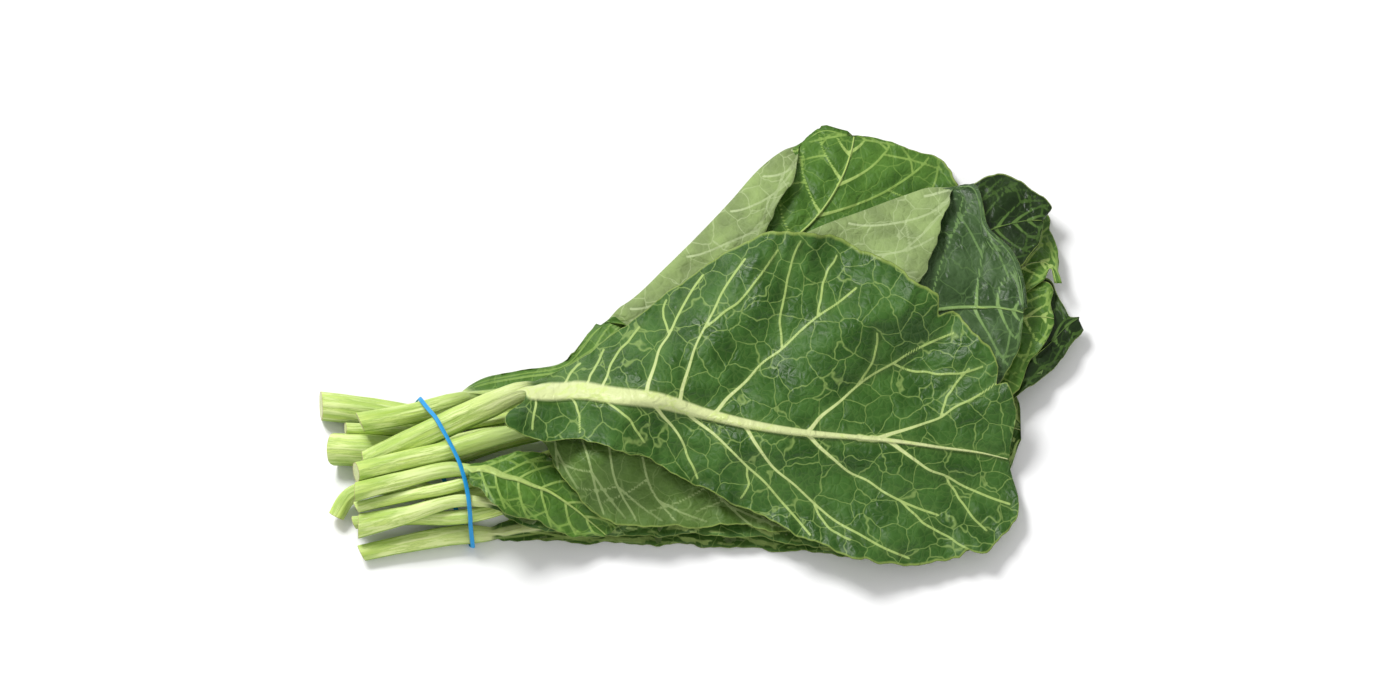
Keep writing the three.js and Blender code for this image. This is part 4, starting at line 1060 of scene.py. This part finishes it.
def leaf_finish(name, dark, light, under, vein, rib, mesh, rough, bloom):
    material = bpy.data.materials.new(name)
    material.use_nodes = True
    tree = material.node_tree
    skin_shader = tree.nodes["Principled BSDF"]
    marks = parts_of(tree, stored(tree, "vein_marks"))
    zones = parts_of(tree, stored(tree, "leaf_zones"))
    cut = stored(tree, "cut_face", "Fac")
    bright = stored(tree, "vein_bright", "Fac")
    coarse = add(tree, "ShaderNodeGroup", node_tree=net)
    fine = add(tree, "ShaderNodeGroup", node_tree=net)
    for veins, (size, width) in ((coarse, COARSE_NET), (fine, FINE_NET)):
        veins.inputs["Mesh Size"].default_value = size
        veins.inputs["Line Width"].default_value = width
    patch = add(tree, "ShaderNodeGroup", node_tree=mottle).outputs
    streak = add(tree, "ShaderNodeGroup", node_tree=streaks).outputs

    upper = blend(tree, patch["Patches"], dark, light)
    upper = blend(tree, reckon(tree, "MULTIPLY", patch["Grain"], 0.35), upper, light)
    frost = between(light, FROST, 0.5)
    upper = blend(tree, reckon(tree, "MULTIPLY", patch["Patches"], bloom), upper, frost)
    soft_vein = between(light, vein, 0.55)
    net_line = reckon(tree, "MULTIPLY", coarse.outputs["Line"], mesh)
    net_line = reckon(tree, "MAXIMUM", net_line, reckon(tree, "MULTIPLY", fine.outputs["Line"], 0.1))
    upper = blend(tree, net_line, upper, soft_vein)
    upper = blend(tree, ramp(tree, marks[1], 0.3, 1.0, 0.0, 0.16), upper, soft_vein)
    drawn = reckon(tree, "MULTIPLY", ramp(tree, marks[0], 0.38, 0.66), bright)
    upper = blend(tree, ramp(tree, drawn, 0.0, 0.62), upper, vein)
    upper = blend(tree, ramp(tree, drawn, 0.62, 0.88, 0.0, 0.85), upper, rib)
    upper = blend(tree, ramp(tree, zones[1], 0.975, 0.995, 0.0, 0.8), upper, EDGE_LIGHT)

    pale_vein = between(under, WHITE_VEIN, 0.36)
    dull = tuple(np.array(under[:3]) * 0.62) + (1,)
    lower = blend(tree, patch["Patches"], dull, under)
    lower = blend(tree, reckon(tree, "MULTIPLY", net_line, 0.7), lower, pale_vein)
    lower = blend(tree, drawn, lower, pale_vein)
    side = ramp(tree, zones[0], 0.3, 0.7)
    blade_colour = blend(tree, side, upper, lower)
    # The midrib gets the same thin lines in a greener tone: painted shade, as in its grooves.
    crease = reckon(tree, "MULTIPLY", streak["Crease_Shade"], 0.4)
    rib_with_crease_shade = blend(tree, crease, rib, STEM_PALE)
    blade_colour = blend(tree, ramp(tree, marks[2], 0.0, 0.35), blade_colour, rib_with_crease_shade)

    stem = blend(tree, streak["Streaks"], STEM_PALE, STEM_WHITE)
    stem = blend(tree, reckon(tree, "MULTIPLY", streak["Blotches"], 0.5), stem, STEM_GREEN)
    # Painted shade: thin darker green lines along the stem, as in its grooves.
    stem = blend(tree, reckon(tree, "MULTIPLY", streak["Crease_Shade"], 0.5), stem, STEM_GREEN)
    near_blade = reckon(tree, "MULTIPLY", stored(tree, "stem_end", "Fac"), 0.85)
    stem = blend(tree, near_blade, stem, rib_with_crease_shade)
    # Painted shade: the lower half of each stem is darkened towards a deep green.
    stem = blend(tree, reckon(tree, "MULTIPLY", side, 0.6), stem, STEM_PAINTED_SHADE)
    face = blend(tree, ramp(tree, cut, 0.35, 0.7), CUT_RIM, CUT_PITH)
    stem = blend(tree, ramp(tree, cut, 0.02, 0.28), stem, face)
    colour = blend(tree, ramp(tree, zones[2], 0.05, 0.6), stem, blade_colour)
    tree.links.new(colour, skin_shader.inputs["Base Color"])

    ribbed = reckon(tree, "MULTIPLY", marks[2], 0.1)
    gloss = ramp(tree, patch["Patches"], 0.0, 1.0, rough - 0.06, rough + 0.1)
    gloss = reckon(tree, "ADD", gloss, reckon(tree, "MULTIPLY", side, 0.22))
    tree.links.new(reckon(tree, "SUBTRACT", gloss, ribbed), skin_shader.inputs["Roughness"])

    height = reckon(tree, "MULTIPLY", coarse.outputs["Cushion"], 0.8)
    height = reckon(tree, "ADD", height, reckon(tree, "MULTIPLY", fine.outputs["Cushion"], 0.3))
    height = reckon(tree, "ADD", height, reckon(tree, "MULTIPLY", patch["Grain"], 0.12))
    height = reckon(tree, "MULTIPLY", height, zones[2])
    height = reckon(tree, "ADD", height, reckon(tree, "MULTIPLY", streak["Streaks"], 0.4))
    bump = add(tree, "ShaderNodeBump", {"Height": height, "Strength": 0.75, "Distance": 0.0009})
    tree.links.new(bump.outputs["Normal"], skin_shader.inputs["Normal"])
    skin_shader.inputs["Specular IOR Level"].default_value = 0.24
    return material


materials = {name: leaf_finish(name + "_leaf_green", **values) for name, values in FINISHES.items()}
print("leaf finishes", list(materials))

# %% [markdown]
# Now the leaves are made, from the bottom up, each over its own plain solid. The grain says how
# close the points of a skin lie: close on the leaves that show, wider on the ones beneath.

# %% Lay the leaves
SHOWN = {
    "bottom_leaf": (2.2, "deep", "leaf_green"),
    "hidden_leaf": (2.6, "deep", "leaf_green"),
    "front_leaf": (2.2, "deep", "leaf_green"),
    "corner_leaf": (1.8, "glossy", "leaf_dark"),
    "inner_leaf": (2.0, "fresh", "leaf_green"),
    "back_leaf": (1.25, "fresh", "leaf_green"),
    "torn_leaf": (2.0, "fresh", "leaf_green"),
    "curling_leaf": (1.6, "glossy", "leaf_dark"),
    "folded_leaf": (1.35, "bloomed", "leaf_dark"),
    "small_leaf": (0.8, "fresh", "leaf_green"),
    "underside_leaf": (1.3, "pale", "leaf_pale"),
    "top_leaf": (0.98, "deep", "leaf_green"),
}
total = 0
for number, leaf in enumerate(LEAVES):
    leaf["grain"], look, slot = SHOWN[leaf["name"]]
    points, marks = leaf_rings(leaf, 100 + 40 * number)
    piece = skin(leaf["name"].replace("_leaf", "_greens"), points, marks)
    piece.data.materials.append(materials[look])
    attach(piece, "root")
    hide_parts(leaf["name"])
    triangles = sum(len(face.vertices) - 2 for face in piece.data.polygons)
    total += triangles
    plain_low, plain_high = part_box(leaf["name"])
    off = [round(float(a - b) * 1000, 1) for a, b in zip(points.reshape(-1, 3).min(0), plain_low)]
    off += [round(float(a - b) * 1000, 1) for a, b in zip(points.reshape(-1, 3).max(0), plain_high)]
    print(leaf["name"], triangles, "triangles, off its plain solid by", off, "mm")
print("all leaves", total, "triangles")

# %% [markdown]
# The rubber band is drawn tight round the outermost stems. Where a stem crosses the band's slanting
# plane it shows an oval, and the band follows the shape that touches all the ovals from outside. It
# is a flat strip, a little twisted, so that it looks wide in one place and thin in another.

# %% The rubber band
BAND_WIDTH, BAND_THICK, BAND_GAP, FLOOR_GAP = 3.2, 0.9, 0.5, 0.05
BAND_X, BAND_SLOPE = 15.5, -0.37
BAND_STEPS, BAND_ROUND = 240, 12
BAND_TWIST = math.radians(30)
BAND_SHOWN, BAND_BOW, BAND_LIFT = 2.3, 5.0, 0.3

stretch = math.hypot(1, BAND_SLOPE)
axis = np.array([1, -BAND_SLOPE, 0]) / stretch
cross = np.array([BAND_SLOPE, 1, 0]) / stretch
ovals = []
for leaf in LEAVES:
    t = np.arange(0, leaf["from"] - 1 + 0.001, 0.02)
    u, v, z, r = leaf["profile"](t).T
    y = (v - z * math.cos(LOOK_DOWN)) / math.sin(LOOK_DOWN)
    k = int(np.argmin(abs(u - BAND_X - BAND_SLOPE * y)))
    one, two = leaf["profile"](np.array([max(t[k] - 0.1, 0), t[k] + 0.1]))
    along = to_room(*two[:3]) - to_room(*one[:3])
    skew = np.linalg.norm(along) / (along @ axis)
    ovals.append((y[k] * stretch, z[k], r[k], r[k] * skew + BAND_WIDTH / 3))

angles = np.linspace(0, 2 * math.pi, BAND_STEPS, endpoint=False)
centre_line = []
for angle in angles:
    cos, sin = math.cos(angle), math.sin(angle)
    reaches = [y * cos + z * sin + math.hypot(wide * cos, tall * sin) for y, z, tall, wide in ovals]
    y, z, tall, wide = ovals[int(np.argmax(reaches))]
    bulge = math.hypot(wide * cos, tall * sin)
    off = BAND_GAP + BAND_THICK / 2
    centre_line.append((y + cos * (wide * wide / bulge + off), z + sin * (tall * tall / bulge + off)))
centre_line = np.array(centre_line)
run = np.cumsum(np.append(0, length_of(np.diff(np.vstack([centre_line, centre_line[:1]]), axis=0))))
even = np.linspace(0, run[-1], BAND_STEPS, endpoint=False)
closed = np.vstack([centre_line, centre_line[:1]])
centre_line = np.stack([np.interp(even, run, closed[:, 0]), np.interp(even, run, closed[:, 1])], -1)
for _ in range(3):
    centre_line = (np.roll(centre_line, 1, 0) + 2 * centre_line + np.roll(centre_line, -1, 0)) / 4
tangent = np.roll(centre_line, -1, 0) - np.roll(centre_line, 1, 0)
tangent /= length_of(tangent)[:, None]
outward = np.stack([tangent[:, 1], -tangent[:, 0]], -1)
twist = BAND_TWIST * np.sin(2 * math.pi * even / run[-1] * 2 + 0.8)
corner = np.linspace(0, 2 * math.pi, BAND_ROUND, endpoint=False) + math.pi / BAND_ROUND
flat = np.sign(np.cos(corner)) * np.abs(np.cos(corner)) ** 0.5 * BAND_SHOWN / 2
deep = np.sign(np.sin(corner)) * np.abs(np.sin(corner)) ** 0.5 * BAND_THICK / 2
ring_flat = flat * np.cos(twist)[:, None] - deep * np.sin(twist)[:, None]
ring_deep = flat * np.sin(twist)[:, None] + deep * np.cos(twist)[:, None]
base = np.array([BAND_X + SHEET_SHIFT[0], SHEET_SHIFT[1], 0])
plane_y = centre_line[:, :1] + outward[:, :1] * ring_deep
plane_z = centre_line[:, 1:] + outward[:, 1:] * ring_deep
span = (centre_line[:, 0] - centre_line[:, 0].min()) / np.ptp(centre_line[:, 0])
bow = BAND_BOW * np.sin(math.pi * span ** 0.63) ** 2 * smooth(outward[:, 1] + 0.3)
band_points = base + cross * plane_y[..., None] + axis * (ring_flat + bow[:, None])[..., None]
band_points[..., 2] = np.maximum(plane_z + BAND_LIFT * bow[:, None], FLOOR_GAP)

bpy.ops.object.select_all(action="DESELECT")
bpy.ops.mesh.primitive_torus_add(major_segments=BAND_STEPS, minor_segments=BAND_ROUND,
                                 major_radius=1, minor_radius=0.1)
band = bpy.context.object
band.name = band.data.name = "blue_band"
band.data.vertices.foreach_set("co", (band_points * MM).ravel())
place = band.data.attributes.new("band_place", "FLOAT_VECTOR", "POINT")
across = np.stack([np.cos(even / run[-1] * 2 * math.pi)[:, None] + 0 * ring_flat,
                   np.sin(even / run[-1] * 2 * math.pi)[:, None] + 0 * ring_flat,
                   flat + 0 * ring_flat], -1)
place.data.foreach_set("vector", across.astype(np.float32).ravel())
close_up()
print("band is", round(float(run[-1])), "mm round")

# %% [markdown]
# Stretched rubber shows faint marks and is neither shiny nor quite matt.

# %% Band finish
rubber = bpy.data.materials.new("blue_rubber")
rubber.use_nodes = True
tree = rubber.node_tree
shader = tree.nodes["Principled BSDF"]
place = stored(tree, "band_place")
stretch_marks = add(tree, "ShaderNodeMapping", {"Vector": place, "Scale": (6.0, 6.0, 3.0)})
lines = add(tree, "ShaderNodeTexNoise", {"Vector": stretch_marks.outputs[0], "Scale": 3.0, "Detail": 4.0})
colour = blend(tree, lines.outputs["Fac"], (0.002, 0.20, 0.50, 1), (0.004, 0.34, 0.70, 1))
tree.links.new(colour, shader.inputs["Base Color"])
tree.links.new(ramp(tree, lines.outputs["Fac"], 0.3, 0.7, 0.45, 0.62), shader.inputs["Roughness"])
bump = add(tree, "ShaderNodeBump", {"Height": lines.outputs["Fac"], "Strength": 0.4, "Distance": 0.0002})
tree.links.new(bump.outputs["Normal"], shader.inputs["Normal"])
band.data.materials.append(rubber)
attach(band, "root")
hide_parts("rubber_band")
print("band", len(band.data.polygons) * 2, "triangles")

# %% [markdown]
# Last, the size of the plain bunch is printed.

# %% Size of the plain bunch
print("plain box", cad_box)
